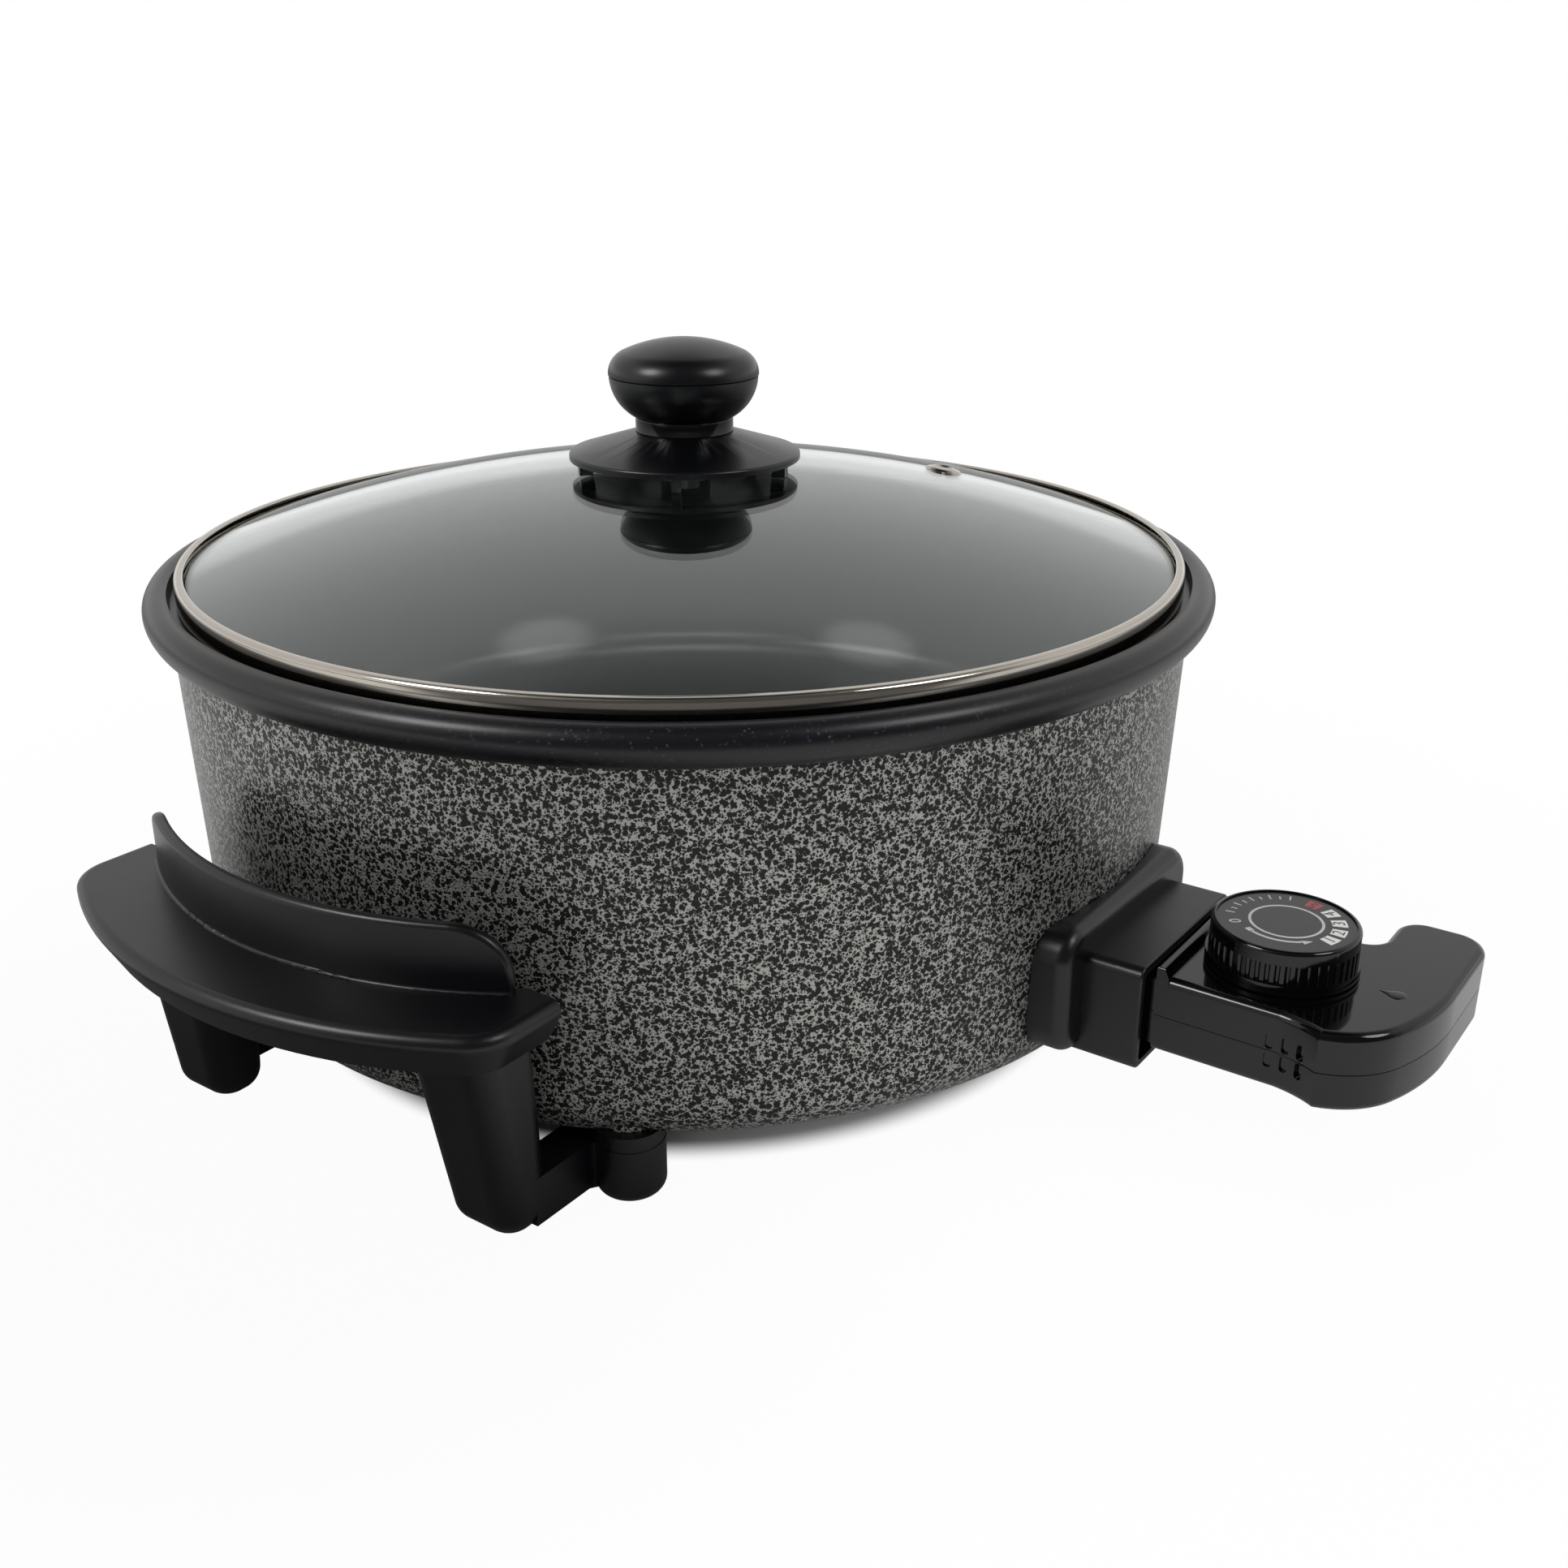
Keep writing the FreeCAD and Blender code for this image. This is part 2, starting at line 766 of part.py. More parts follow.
def pan_floor(document, S):
    """The casting's flat floor, with the posts that carry the base cover."""
    body = new_body(document, "pan_floor")
    underside = underside_height(S)
    disc = Circle(0, 0, floor_edge_radius(S) - S.floor_play)
    pad(body, "Floor", "XY_Plane", [disc], underside, S.floor_height)
    posts = [Circle(x, y, S.cover_post_radius) for x, y in cover_post_places(S)]
    post_low = S.cover_height + S.cover_thickness
    pad(body, "CoverPosts", "XY_Plane", posts, post_low, underside + S.floor_thickness / 2)
    pilots = [Circle(x, y, S.cover_screw_radius + S.screw_play) for x, y in cover_post_places(S)]
    pilot_high = post_low + S.cover_screw_bite + S.screw_passage
    pocket(body, "PostThreads", "XY_Plane", pilots, post_low - S.seat_gap, pilot_high)
    return body


def heat_plate(document, S):
    """Aluminium ring brazed under the floor, with the element's groove and the probe's well."""
    body = new_body(document, "heat_plate")
    underside = underside_height(S)
    inner = S.element_ring_radius - S.rib_width / 2
    outer = S.element_ring_radius + S.rib_width / 2
    low = underside - S.rib_depth
    revolve(body, "Ring", [rectangle(inner, outer, low, underside)])
    groove_section = Circle(S.element_ring_radius, S.element_height, S.element_radius + S.element_play)
    revolve(body, "ElementGroove", [groove_section], kind="Groove")
    room_half = S.lead_offset + S.element_bend + S.bend_clearance
    room = rectangle(inner - S.lead_clearance, outer + S.lead_clearance, -room_half, room_half)
    room_high = S.element_height + S.element_radius + S.lead_clearance
    pocket(body, "BendRoom", "XY_Plane", [room], low - S.lead_clearance, room_high)
    well = rectangle(S.well_start, S.skirt_radius - S.lead_clearance, -S.well_half_width, S.well_half_width)
    pad(body, "ProbeWell", "XY_Plane", [well], S.well_low, underside)
    bore = Circle(0, S.element_height, S.probe_radius + S.probe_play)
    pocket(body, "ProbeBore", "YZ_Plane", [bore], S.well_start + S.well_wall, S.skirt_radius)
    return body


def heating_element(document, S):
    """Sheathed tube: a ring under the floor whose ends bend out to the socket."""
    body = new_body(document, "heating_element")
    bend_far = S.lead_offset + S.element_bend
    reach = S.element_ring_radius + S.element_bend
    bend_x = other_leg(reach, bend_far)
    share = S.element_ring_radius / reach
    touch = (bend_x * share, bend_far * share)
    ring = S.element_ring_radius
    route = [
        (S.lead_end, S.lead_offset),
        (bend_x, S.lead_offset),
        (touch[0], touch[1], -S.element_bend),
        (0, ring, ring),
        (-ring, 0, ring),
        (0, -ring, ring),
        (touch[0], -touch[1], ring),
        (bend_x, -S.lead_offset, -S.element_bend),
        (S.lead_end, -S.lead_offset),
    ]
    path = draw(body, "Route", "XY_Plane", [route], S.element_height, closed=False)
    section = Circle(S.lead_offset, S.element_height, S.element_radius)
    tube = draw(body, "TubeSection", "YZ_Plane", [section], S.lead_end)
    pipe = body.newObject("PartDesign::AdditivePipe", "Tube")
    pipe.Profile = tube
    pipe.Spine = (path, [""])
    return body


def lead_circles(S, radius, inner=None):
    circles = [Circle(side * S.lead_offset, S.element_height, radius) for side in (-1, 1)]
    if inner is not None:
        circles += [Circle(side * S.lead_offset, S.element_height, inner) for side in (-1, 1)]
    return circles


def terminal_pins(document, S):
    body = new_body(document, "terminal_pins", separate_solids=True)
    pad(body, "Pins", "YZ_Plane", lead_circles(S, S.pin_radius), S.lead_end, S.pin_end)
    round_edges(body, "PinTips", S.pin_tip_round, lambda edge: lies_at(edge, "X", S.pin_end))
    return body


def pin_insulators(document, S):
    body = new_body(document, "pin_insulators", separate_solids=True)
    beads = lead_circles(S, S.insulator_radius, S.pin_radius + S.insulator_play)
    pad(body, "Beads", "YZ_Plane", beads, S.lead_end, S.insulator_end)
    return body


def socket_wall_holes(S):
    """What passes through both the shroud's back wall and the earthed plate."""
    screws = [
        Circle(side * S.shroud_screw_offset, S.element_height, S.shroud_screw_radius + S.screw_passage)
        for side in (-1, 1)
    ]
    probe = Circle(0, S.element_height, S.probe_radius + S.probe_play + S.screw_passage)
    return lead_circles(S, S.insulator_radius + S.hole_play) + [probe] + screws


def terminal_plate(document, S):
    body = new_body(document, "terminal_plate")
    outline = rounded_rectangle(
        -S.plate_half_width, S.plate_half_width, S.plate_low, S.plate_high, S.socket_corner
    )
    loops = [outline] + socket_wall_holes(S)
    pad(body, "Plate", "YZ_Plane", loops, S.socket_back, S.socket_back + S.plate_thickness)
    return body


def socket_shroud(document, S):
    """Moulded flange that follows the wall, with an open box for the thermostat's nose."""
    body = new_body(document, "socket_shroud")
    deep = S.skirt_radius - S.boss_radius
    flange = rounded_rectangle(
        -S.flange_half_width, S.flange_half_width, S.flange_low, S.flange_high, S.flange_corner
    )
    pad(body, "Flange", "YZ_Plane", [flange], deep, S.flange_front)
    round_edges(body, "FlangeFront", S.flange_round, lambda edge: lies_at(edge, "X", S.flange_front))
    box = rounded_rectangle(
        -S.socket_half_width, S.socket_half_width, S.socket_low, S.socket_high, S.socket_corner
    )
    pad(body, "Box", "YZ_Plane", [box], deep, S.socket_front)
    round_edges(body, "BoxFront", S.socket_round, lambda edge: lies_at(edge, "X", S.socket_front))
    opening = rounded_rectangle(
        S.socket_wall - S.socket_half_width,
        S.socket_half_width - S.socket_wall,
        S.socket_low + S.socket_wall,
        S.socket_high - S.socket_wall,
        S.socket_corner - S.socket_wall / 2,
    )
    pocket(body, "Opening", "YZ_Plane", [opening], S.socket_back, S.socket_front + S.seat_gap)
    low = S.socket_low - S.socket_wall
    high = S.flange_high + S.socket_wall
    wall_room = [
        (0, low),
        (wall_radius_at(S, low) + S.seat_gap, low),
        (wall_radius_at(S, high) + S.seat_gap, high),
        (0, high),
    ]
    revolve(body, "WallRoom", [wall_room], kind="Groove")
    pocket(body, "WallHoles", "YZ_Plane", socket_wall_holes(S), deep, S.socket_back + S.seat_gap)
    return body


def headed_pegs(body, role, places, shank, head, start, middle, end, reverse=False):
    """Screws as two prisms: the head from start to middle and the shank from middle to end."""
    heads = [Circle(x, y, head) for x, y in places]
    shanks = [Circle(x, y, shank) for x, y in places]
    if reverse:
        pad(body, "Shanks", role, shanks, end, middle)
        pad(body, "Heads", role, heads, middle, start)
    else:
        pad(body, "Heads", role, heads, start, middle)
        pad(body, "Shanks", role, shanks, middle, end)


def shroud_screws(document, S):
    body = new_body(document, "shroud_screws", separate_solids=True)
    places = [(side * S.shroud_screw_offset, S.element_height) for side in (-1, 1)]
    seat = S.socket_back + S.plate_thickness
    outer = seat + S.shroud_screw_head_depth
    tip = seat - S.shroud_screw_length
    headed_pegs(
        body, "YZ_Plane", places, S.shroud_screw_radius, S.shroud_screw_head, outer, seat, tip, reverse=True
    )
    return body


def side_handle(document, S, label, azimuth):
    """Crescent grip with its upright guard, on two legs whose webs lead in to the screwed feet.

    It is drawn with its own axis along X and then turned to its place."""
    body = new_body(document, label, separate_solids=True)
    pad(body, "Shelf", "XY_Plane", [shelf_outline(S)], S.shelf_bottom, S.shelf_top, draft=S.shelf_draft)
    guard_centre = S.guard_reach - S.guard_arc
    guard_bore = S.guard_arc - S.guard_thickness
    clearing = S.shelf_half_length + S.shelf_top - S.shelf_bottom
    crossing = other_leg(guard_bore, S.shelf_inner - guard_centre)
    hollow = [
        (S.leg_inner - S.leg_corner, -clearing),
        (S.shelf_inner, -clearing),
        (S.shelf_inner, -crossing),
        (S.shelf_inner, crossing, guard_bore),
        (S.shelf_inner, clearing),
        (S.leg_inner - S.leg_corner, clearing),
    ]
    pocket(body, "PanSide", "XY_Plane", [hollow], S.shelf_bottom - S.seat_gap, S.shelf_top + S.seat_gap)
    pan_side = (guard_centre + guard_bore, S.shelf_inner)

    def away_from_the_pan(edge):
        return lies_at(edge, "Z", S.shelf_top) and not any(reaches_to(edge, place) for place in pan_side)

    round_edges(body, "ShelfTop", S.shelf_round, away_from_the_pan)
    guard_end_outer = guard_centre + other_leg(S.guard_arc, S.guard_half_length)
    guard_end_inner = guard_centre + other_leg(guard_bore, S.guard_half_length)
    guard = [
        (guard_end_inner, -S.guard_half_length, -guard_bore),
        (guard_end_outer, -S.guard_half_length),
        (guard_end_outer, S.guard_half_length, S.guard_arc),
        (guard_end_inner, S.guard_half_length),
    ]
    pad(body, "Guard", "XY_Plane", [guard], S.shelf_bottom, S.guard_top)
    round_edges(
        body,
        "GuardBase",
        S.guard_base_round,
        lambda edge: lies_at(edge, "Z", S.shelf_top) and reaches_to(edge, S.guard_reach),
    )
    corners = [guard_corner(S, side) for side in (1, -1)]
    pocket(body, "GuardCorners", "YZ_Plane", corners, S.leg_inner, S.shelf_reach)
    round_edges(body, "GuardTop", S.guard_round, lambda edge: lies_at(edge, "Z", S.guard_top))
    legs(body, S)
    inner_feet(body, S)
    turn_body(body, azimuth)
    return body


def shelf_outline(S):
    """A wide arc whose ends run smoothly into the two outer corners."""
    arc_centre = S.shelf_reach - S.shelf_arc
    corner_side = S.shelf_half_length - S.shelf_corner
    corner_reach = arc_centre + other_leg(S.shelf_arc - S.shelf_corner, corner_side)
    share = S.shelf_arc / (S.shelf_arc - S.shelf_corner)
    end_reach = arc_centre + (corner_reach - arc_centre) * share
    end_side = corner_side * share
    return [
        (S.shelf_inner, -S.shelf_half_length),
        (corner_reach, -S.shelf_half_length),
        (end_reach, -end_side, S.shelf_corner),
        (end_reach, end_side, S.shelf_arc),
        (corner_reach, S.shelf_half_length, S.shelf_corner),
        (S.shelf_inner, S.shelf_half_length),
    ]


def guard_corner(S, side):
    """What is cut off one upper corner of the guard, seen along the handle's axis."""
    end = side * S.guard_half_length
    inset = side * (S.guard_half_length - S.guard_corner)
    outside = side * (S.guard_half_length + S.guard_corner)
    spring = S.guard_top - S.guard_corner
    above = S.guard_top + S.guard_corner
    return [
        (end, spring),
        (inset, S.guard_top, side * S.guard_corner),
        (inset, above),
        (outside, above),
        (outside, spring),
    ]


def legs(body, S):
    """Two tapered legs from the shelf to the table, cut back where the pan's wall passes."""
    inside_shelf = S.shelf_bottom + S.leg_rise
    sections = []
    levels = [
        ("Foot", 0, S.leg_reach_foot, S.leg_width_foot),
        ("Top", inside_shelf, S.leg_reach_top, S.leg_width_top),
    ]
    for name, height, reach, width in levels:
        outline = rounded_rectangle(S.leg_inner, reach, S.leg_side - width, S.leg_side, S.leg_corner)
        sections.append(draw(body, "Leg" + name, "XY_Plane", [outline], height))
    leg = body.newObject("PartDesign::AdditiveLoft", "Leg")
    leg.Profile = sections[0]
    leg.Sections = sections[1:]
    leg.Ruled = True
    mirror(body, "LegPair", [leg])
    low = S.foot_height
    high = S.guard_top
    pan_room = [
        (0, low),
        (wall_radius_at(S, low) + S.seat_gap, low),
        (wall_radius_at(S, high) + S.seat_gap, high),
        (0, high),
    ]
    revolve(body, "PanRoom", [pan_room], kind="Groove")
    window = [
        (S.leg_inner - S.leg_corner, S.web_height),
        (S.leg_window_foot, S.web_height),
        (S.leg_window_top, inside_shelf),
        (S.leg_inner - S.leg_corner, inside_shelf),
    ]
    beside = S.leg_side + S.leg_corner
    pocket(body, "LegWindows", "XZ_Plane", [window], -beside, beside)
    round_edges(body, "LegFeet", S.leg_foot_round, lambda edge: lies_at(edge, "Z", 0))


def inner_feet(body, S):
    """Feet under the pan's base bosses, each joined to its leg by a low web."""
    places = foot_places(S, handle_azimuths=(0,))
    feet = [Circle(x, y, S.foot_radius) for x, y in places]
    pad(body, "Feet", "XY_Plane", feet, 0, S.foot_height)
    middles = [V(number(x), number(y), 0) for x, y in places]
    reach = number(S.foot_radius)

    def under_a_foot(edge):
        middle = edge.BoundBox.Center
        return lies_at(edge, "Z", 0) and any(middle.distanceToPoint(place) < reach for place in middles)

    round_edges(body, "FootRounds", S.foot_round, under_a_foot)
    for side, (x, y) in zip((-1, 1), places):
        outer = side * S.leg_side
        inner = side * (S.leg_side - S.web_width)
        web = [
            (S.leg_inner + S.leg_corner, inner),
            (S.leg_inner + S.leg_corner, outer),
            (x + S.foot_radius, outer),
            (x, y),
            (x - S.foot_radius / 2, outer),
            (x, inner),
        ]
        name = "WebNear" if side < 0 else "WebFar"
        pad(body, name, "XY_Plane", [web], S.web_lift, S.web_height)
    seats = [Circle(x, y, S.handle_screw_head + S.screw_passage) for x, y in places]
    pocket(body, "ScrewSeats", "XY_Plane", seats, -S.seat_gap, S.handle_screw_seat)
    holes = [Circle(x, y, S.handle_screw_radius + S.screw_passage) for x, y in places]
    pocket(body, "ScrewHoles", "XY_Plane", holes, 0, S.foot_height + S.seat_gap)


def handle_screws(document, S, label, azimuth):
    body = new_body(document, label, separate_solids=True)
    places = foot_places(S, handle_azimuths=(azimuth,))
    seat = S.handle_screw_seat
    head_low = seat - S.handle_screw_head_depth
    tip = S.foot_height + S.handle_screw_bite
    headed_pegs(body, "XY_Plane", places, S.handle_screw_radius, S.handle_screw_head, head_low, seat, tip)
    return body


def base_cover(document, S):
    """Pressed heat shield inside the skirt, with a ring of vents."""
    body = new_body(document, "base_cover")
    low = S.cover_height
    high = low + S.cover_thickness
    rim = S.cover_radius - S.cover_thickness
    section = [
        (0, low),
        (rim, low),
        (S.cover_radius, high, S.cover_thickness),
        (S.cover_radius, low + S.cover_flange),
        (rim, low + S.cover_flange),
        (rim, high),
        (0, high),
    ]
    revolve(body, "Disc", [section])
    half = S.cover_vent_width / 2
    slot = rounded_rectangle(
        S.cover_vent_radius, S.cover_vent_radius + S.cover_vent_length, -half, half, S.cover_vent_corner
    )
    vent = pocket(body, "Vent", "XY_Plane", [slot], low - S.seat_gap, high + S.seat_gap)
    polar(body, "Vents", vent, S.cover_vent_count)
    holes = [Circle(x, y, S.cover_screw_radius + S.screw_passage) for x, y in cover_post_places(S)]
    pocket(body, "CoverHoles", "XY_Plane", holes, low - S.seat_gap, high + S.seat_gap)
    return body


def cover_screws(document, S):
    body = new_body(document, "cover_screws", separate_solids=True)
    seat = S.cover_height
    tip = seat + S.cover_thickness + S.cover_screw_bite
    headed_pegs(
        body,
        "XY_Plane",
        cover_post_places(S),
        S.cover_screw_radius,
        S.cover_screw_head,
        seat - S.cover_screw_head_depth,
        seat,
        tip,
    )
    return body


def lid_ring(document, S):
    """Rolled steel band, open inwards, that holds the glass by its edge."""
    body = new_body(document, "lid_ring")
    low = S.ledge_height + S.ring_lift
    high = low + S.ring_height
    outer = S.ring_radius
    inner = outer - S.ring_wall
    bend = S.ring_round
    fold = bend - S.ring_wall / 2
    section = [
        (outer - S.ring_low_reach, low),
        (outer - bend, low),
        (outer, low + bend, bend),
        (outer, high - bend),
        (outer - bend, high, bend),
        (outer - S.ring_top_reach, high),
        (outer - S.ring_top_reach, high - S.ring_wall),
        (inner - fold, high - S.ring_wall),
        (inner, high - S.ring_wall - fold, -fold),
        (inner, low + S.ring_low_lip + fold),
        (inner - fold, low + S.ring_low_lip, -fold),
        (outer - S.ring_low_reach, low + S.ring_low_lip),
    ]
    revolve(body, "Band", [section])
    return body


def vent_corner(S, across, along):
    """A place near the steam vent, measured across and along the vent's own axis."""
    tilt = arc_sine(S.vent_circle_radius / S.glass_arc)
    x = S.vent_circle_radius + across * cosine(tilt) + along * sine(tilt)
    z = glass_top_at(S, S.vent_circle_radius) - across * sine(tilt) + along * cosine(tilt)
    return x, z


def turn_about_vent(body, name, S, profile, kind="Revolution"):
    """Turns a profile, given across and along the vent's axis, about that axis."""
    loop = [vent_corner(S, *corner) for corner in profile]
    drawing = draw(body, name + "Profile", "XZ_Plane", [loop])
    ends = [vent_corner(S, 0, -S.glass_thickness * 2), vent_corner(S, 0, S.glass_thickness * 2)]
    points = [V(number(x), number(z), 0) for x, z in ends]
    line = drawing.addGeometry(Part.LineSegment(*points), True)
    for place, (x, z) in enumerate(ends, start=1):
        pin_point(drawing, line, place, x, z)
    feature = body.newObject("PartDesign::" + kind, name)
    feature.Profile = drawing
    feature.ReferenceAxis = (drawing, ["Axis0"])
    feature.Angle = 360
    turn_body(body, S.vent_azimuth)
    return feature


def lid_glass(document, S):
    """Tempered dome of even thickness with holes for the knob screw and the steam vent."""
    body = new_body(document, "lid_glass")
    hole = S.glass_hole_radius
    edge = S.glass_edge_radius
    section = [
        (hole, glass_under_at(S, hole), S.glass_arc - S.glass_thickness),
        (hole, glass_top_at(S, hole)),
        (edge, glass_top_at(S, edge), -S.glass_arc),
        (edge, glass_under_at(S, edge)),
    ]
    revolve(body, "Dome", [section])
    hole_radius = S.vent_barrel + S.vent_play
    depth = S.glass_thickness + S.seat_gap
    cut = [(0, -depth), (hole_radius, -depth), (hole_radius, S.seat_gap), (0, S.seat_gap)]
    turn_about_vent(body, "VentHole", S, cut, kind="Groove")
    return body


def vent_eyelet(document, S):
    """Steel eyelet clenched on both faces of the glass, open through its middle."""
    body = new_body(document, "vent_eyelet")
    under = -S.glass_thickness - S.vent_play
    profile = [
        (S.vent_bore, under - S.vent_lip),
        (S.vent_flange, under - S.vent_lip),
        (S.vent_flange, under),
        (S.vent_barrel, under),
        (S.vent_barrel, 0),
        (S.vent_flange, 0),
        (S.vent_flange - S.vent_lip, S.vent_lip),
        (S.vent_bore + S.vent_lip, S.vent_proud),
        (S.vent_bore, S.vent_lip),
    ]
    turn_about_vent(body, "Eyelet", S, profile)
    return body


def skirt_edge_height(S):
    return glass_top_at(S, S.skirt_edge_radius) + S.skirt_edge_lift


def skirt_top_height(S):
    return skirt_edge_height(S) + S.skirt_rise


def knob_skirt(document, S):
    """Conical heat skirt that stands on ribs over the glass, with a boss at the middle."""
    body = new_body(document, "knob_skirt")
    hole = S.knob_screw_radius + S.screw_passage
    edge = S.skirt_edge_radius
    edge_height = skirt_edge_height(S)
    top_height = skirt_top_height(S)
    thick = S.skirt_thickness
    boss_low = S.glass_apex + S.vent_play
    section = [
        (hole, boss_low),
        (S.skirt_boss_radius, boss_low),
        (S.skirt_boss_radius, top_height - thick),
        (S.skirt_top_radius, top_height - thick),
        (edge - thick, edge_height - thick),
        (edge, edge_height - thick),
        (edge, edge_height),
        (S.skirt_top_radius, top_height),
        (hole, top_height),
    ]
    revolve(body, "Cone", [section])
    round_edges(body, "Edge", S.skirt_edge_round, lambda item: lies_at(item, "Z", edge_height))
    half = S.skirt_rib_width / 2
    foot = glass_top_at(S, S.skirt_rib_inner) + S.vent_play
    rib = rectangle(S.skirt_rib_inner, S.skirt_rib_outer, -half, half)
    rib_feature = pad(body, "Rib", "XY_Plane", [rib], foot, edge_height)
    polar(body, "Ribs", rib_feature, S.skirt_rib_count)
    turn_body(body, S.skirt_rib_azimuth)
    return body


def knob_collar(document, S):
    body = new_body(document, "knob_collar")
    low = skirt_top_height(S)
    hole = S.knob_screw_radius + S.screw_passage
    revolve(body, "Collar", [rectangle(hole, S.collar_radius, low, low + S.collar_height)])
    return body


def grip_low(S):
    return skirt_top_height(S) + S.collar_height


def knob_grip(document, S):
    """Moulded grip: a bowl that widens to the parting seam, under a low crown.

    The crown is two arcs that share a tangent, upright at the seam and level at the top."""
    body = new_body(document, "knob_grip")
    low = grip_low(S)
    hole = S.knob_screw_radius + S.screw_play
    seam = low + S.grip_flank_height
    apex = seam + S.grip_crown_height
    bowl_centre = S.grip_radius - S.grip_bowl_round
    rise = S.grip_crown_height - S.grip_seam
    crown_centre = S.grip_radius - S.grip_crown_round
    crown_arc = (crown_centre * crown_centre + rise * rise - S.grip_crown_round * S.grip_crown_round) / (
        (rise - S.grip_crown_round) * 2
    )
    share = crown_arc / (crown_arc - S.grip_crown_round)
    crown_edge = apex - crown_arc + (crown_arc - rise) * share
    section = [
        (hole, low),
        (S.grip_neck_radius, low),
        (
            bowl_centre + S.grip_bowl_round * cosine(S.grip_bowl_turn),
            seam - S.grip_bowl_round * sine(S.grip_bowl_turn),
        ),
        (S.grip_radius, seam, S.grip_bowl_round),
        (S.grip_radius - S.grip_seam, seam),
        (S.grip_radius - S.grip_seam, seam + S.grip_seam),
        (S.grip_radius, seam + S.grip_seam),
        (crown_centre * share, crown_edge, S.grip_crown_round),
        (0, apex, crown_arc),
        (0, low + S.knob_screw_bite + S.screw_passage),
        (hole, low + S.knob_screw_bite + S.screw_passage),
    ]
    revolve(body, "Grip", [section])
    return body


def gasket_top(S):
    return glass_under_at(S, S.gasket_radius)


def knob_gasket(document, S):
    body = new_body(document, "knob_gasket")
    top = gasket_top(S)
    hole = S.knob_screw_radius + S.screw_passage
    revolve(body, "Gasket", [rectangle(hole, S.gasket_radius, top - S.gasket_thickness, top)])
    return body


def knob_washer(document, S):
    body = new_body(document, "knob_washer")
    top = gasket_top(S) - S.gasket_thickness
    hole = S.knob_screw_radius + S.screw_passage
    revolve(body, "Washer", [rectangle(hole, S.washer_radius, top - S.washer_thickness, top)])
    return body


def knob_screw(document, S):
    body = new_body(document, "knob_screw")
    seat = gasket_top(S) - S.gasket_thickness - S.washer_thickness
    head_low = seat - S.knob_screw_head_depth
    tip = grip_low(S) + S.knob_screw_bite
    headed_pegs(body, "XY_Plane", [(0, 0)], S.knob_screw_radius, S.knob_screw_head, head_low, seat, tip)
    return body


def head_outline(S, inset=0):
    """The thermostat housing seen from above, from the neck round the swept head and back.

    The head's end turns the near corner in two arcs that share a tangent. An inset gives the
    inside of its wall."""
    side_middle = S.head_end - S.head_side_arc
    shift = S.head_side_arc - S.head_turn_arc
    turn_x = side_middle + shift * cosine(S.head_turn_angle)
    turn_y = S.head_side_start - shift * sine(S.head_turn_angle)
    turn_arc = S.head_turn_arc - inset
    near_corner = (
        turn_x + turn_arc * cosine(S.head_corner_angle), turn_y - turn_arc * sine(S.head_corner_angle)
    )
    tangent_point = (
        turn_x + turn_arc * cosine(S.head_turn_angle), turn_y - turn_arc * sine(S.head_turn_angle)
    )
    near = inset - S.neck_half_width
    far = S.neck_far_side - inset
    end = S.head_end - inset
    far_side = S.head_far_side - inset
    back = S.head_back + inset
    return [
        (S.case_start + inset, near),
        (S.neck_end, near),
        (*near_corner, -(S.neck_flare_arc + inset)),
        (*tangent_point, turn_arc),
        (end, S.head_side_start, S.head_side_arc - inset),
        (end, S.head_far_side - S.head_far_corner),
        (S.head_end - S.head_far_corner, far_side, S.head_far_corner - inset),
        (S.head_back + S.head_back_corner, far_side),
        (back, S.head_far_side - S.head_back_corner, S.head_back_corner - inset),
        (back, S.neck_far_side + S.head_scoop),
        (S.head_back - S.head_scoop, far, -(S.head_scoop + inset)),
        (S.case_start + inset, far),
    ]


def nose_outline(S, inset=0):
    """The stepped nose that plugs into the socket, or with an inset the inside of its wall."""
    inside = S.case_start + S.case_wall + inset
    tongue_half = S.tongue_half_width - inset
    nose_half = S.nose_half_width - inset
    nose_far = S.neck_far_side - S.case_wall - inset
    return [
        (S.tongue_start + inset, -tongue_half),
        (S.nose_start + inset, -tongue_half),
        (S.nose_start + inset, -nose_half),
        (inside, -nose_half),
        (inside, nose_far),
        (S.nose_start + inset, nose_far),
        (S.nose_start + inset, tongue_half),
        (S.tongue_start + inset, tongue_half),
    ]


def case_post_places(S):
    return [
        (S.neck_post_place, -S.neck_post_offset),
        (S.neck_post_place, S.neck_post_offset),
        (S.head_post_place, S.head_post_offset),
    ]


def housing_lip(body, S):
    """Raised lip across the housing's socket end, with a slope down to the top."""
    low = S.case_high - S.case_round
    crest = S.case_high + S.lip_height
    crest_end = S.case_start + S.lip_crest
    profile = [
        (S.case_start, low),
        (crest_end + S.lip_slope, low),
        (crest_end + S.lip_slope, S.case_high),
        (crest_end, crest),
        (S.case_start, crest),
    ]
    pad(body, "Lip", "XZ_Plane", [profile], -S.neck_far_side, S.neck_half_width)
    round_edges(body, "LipCrest", S.lip_round, lambda edge: lies_at(edge, "Z", crest))


def side_vents(body, S, low):
    """Three slots side by side through the flare of the housing's near side."""
    half = S.side_vent_width / 2
    slots = []
    for step in range(3):
        place = S.side_vent_start + S.side_vent_pitch * step
        slots.append(
            rounded_rectangle(place - half, place + half, low, low + S.side_vent_height, S.side_vent_corner)
        )
    inside = S.neck_half_width - S.case_wall * 2
    pocket(body, "SideVents", "XZ_Plane", slots, inside, inside + S.case_wall + S.side_vent_depth)


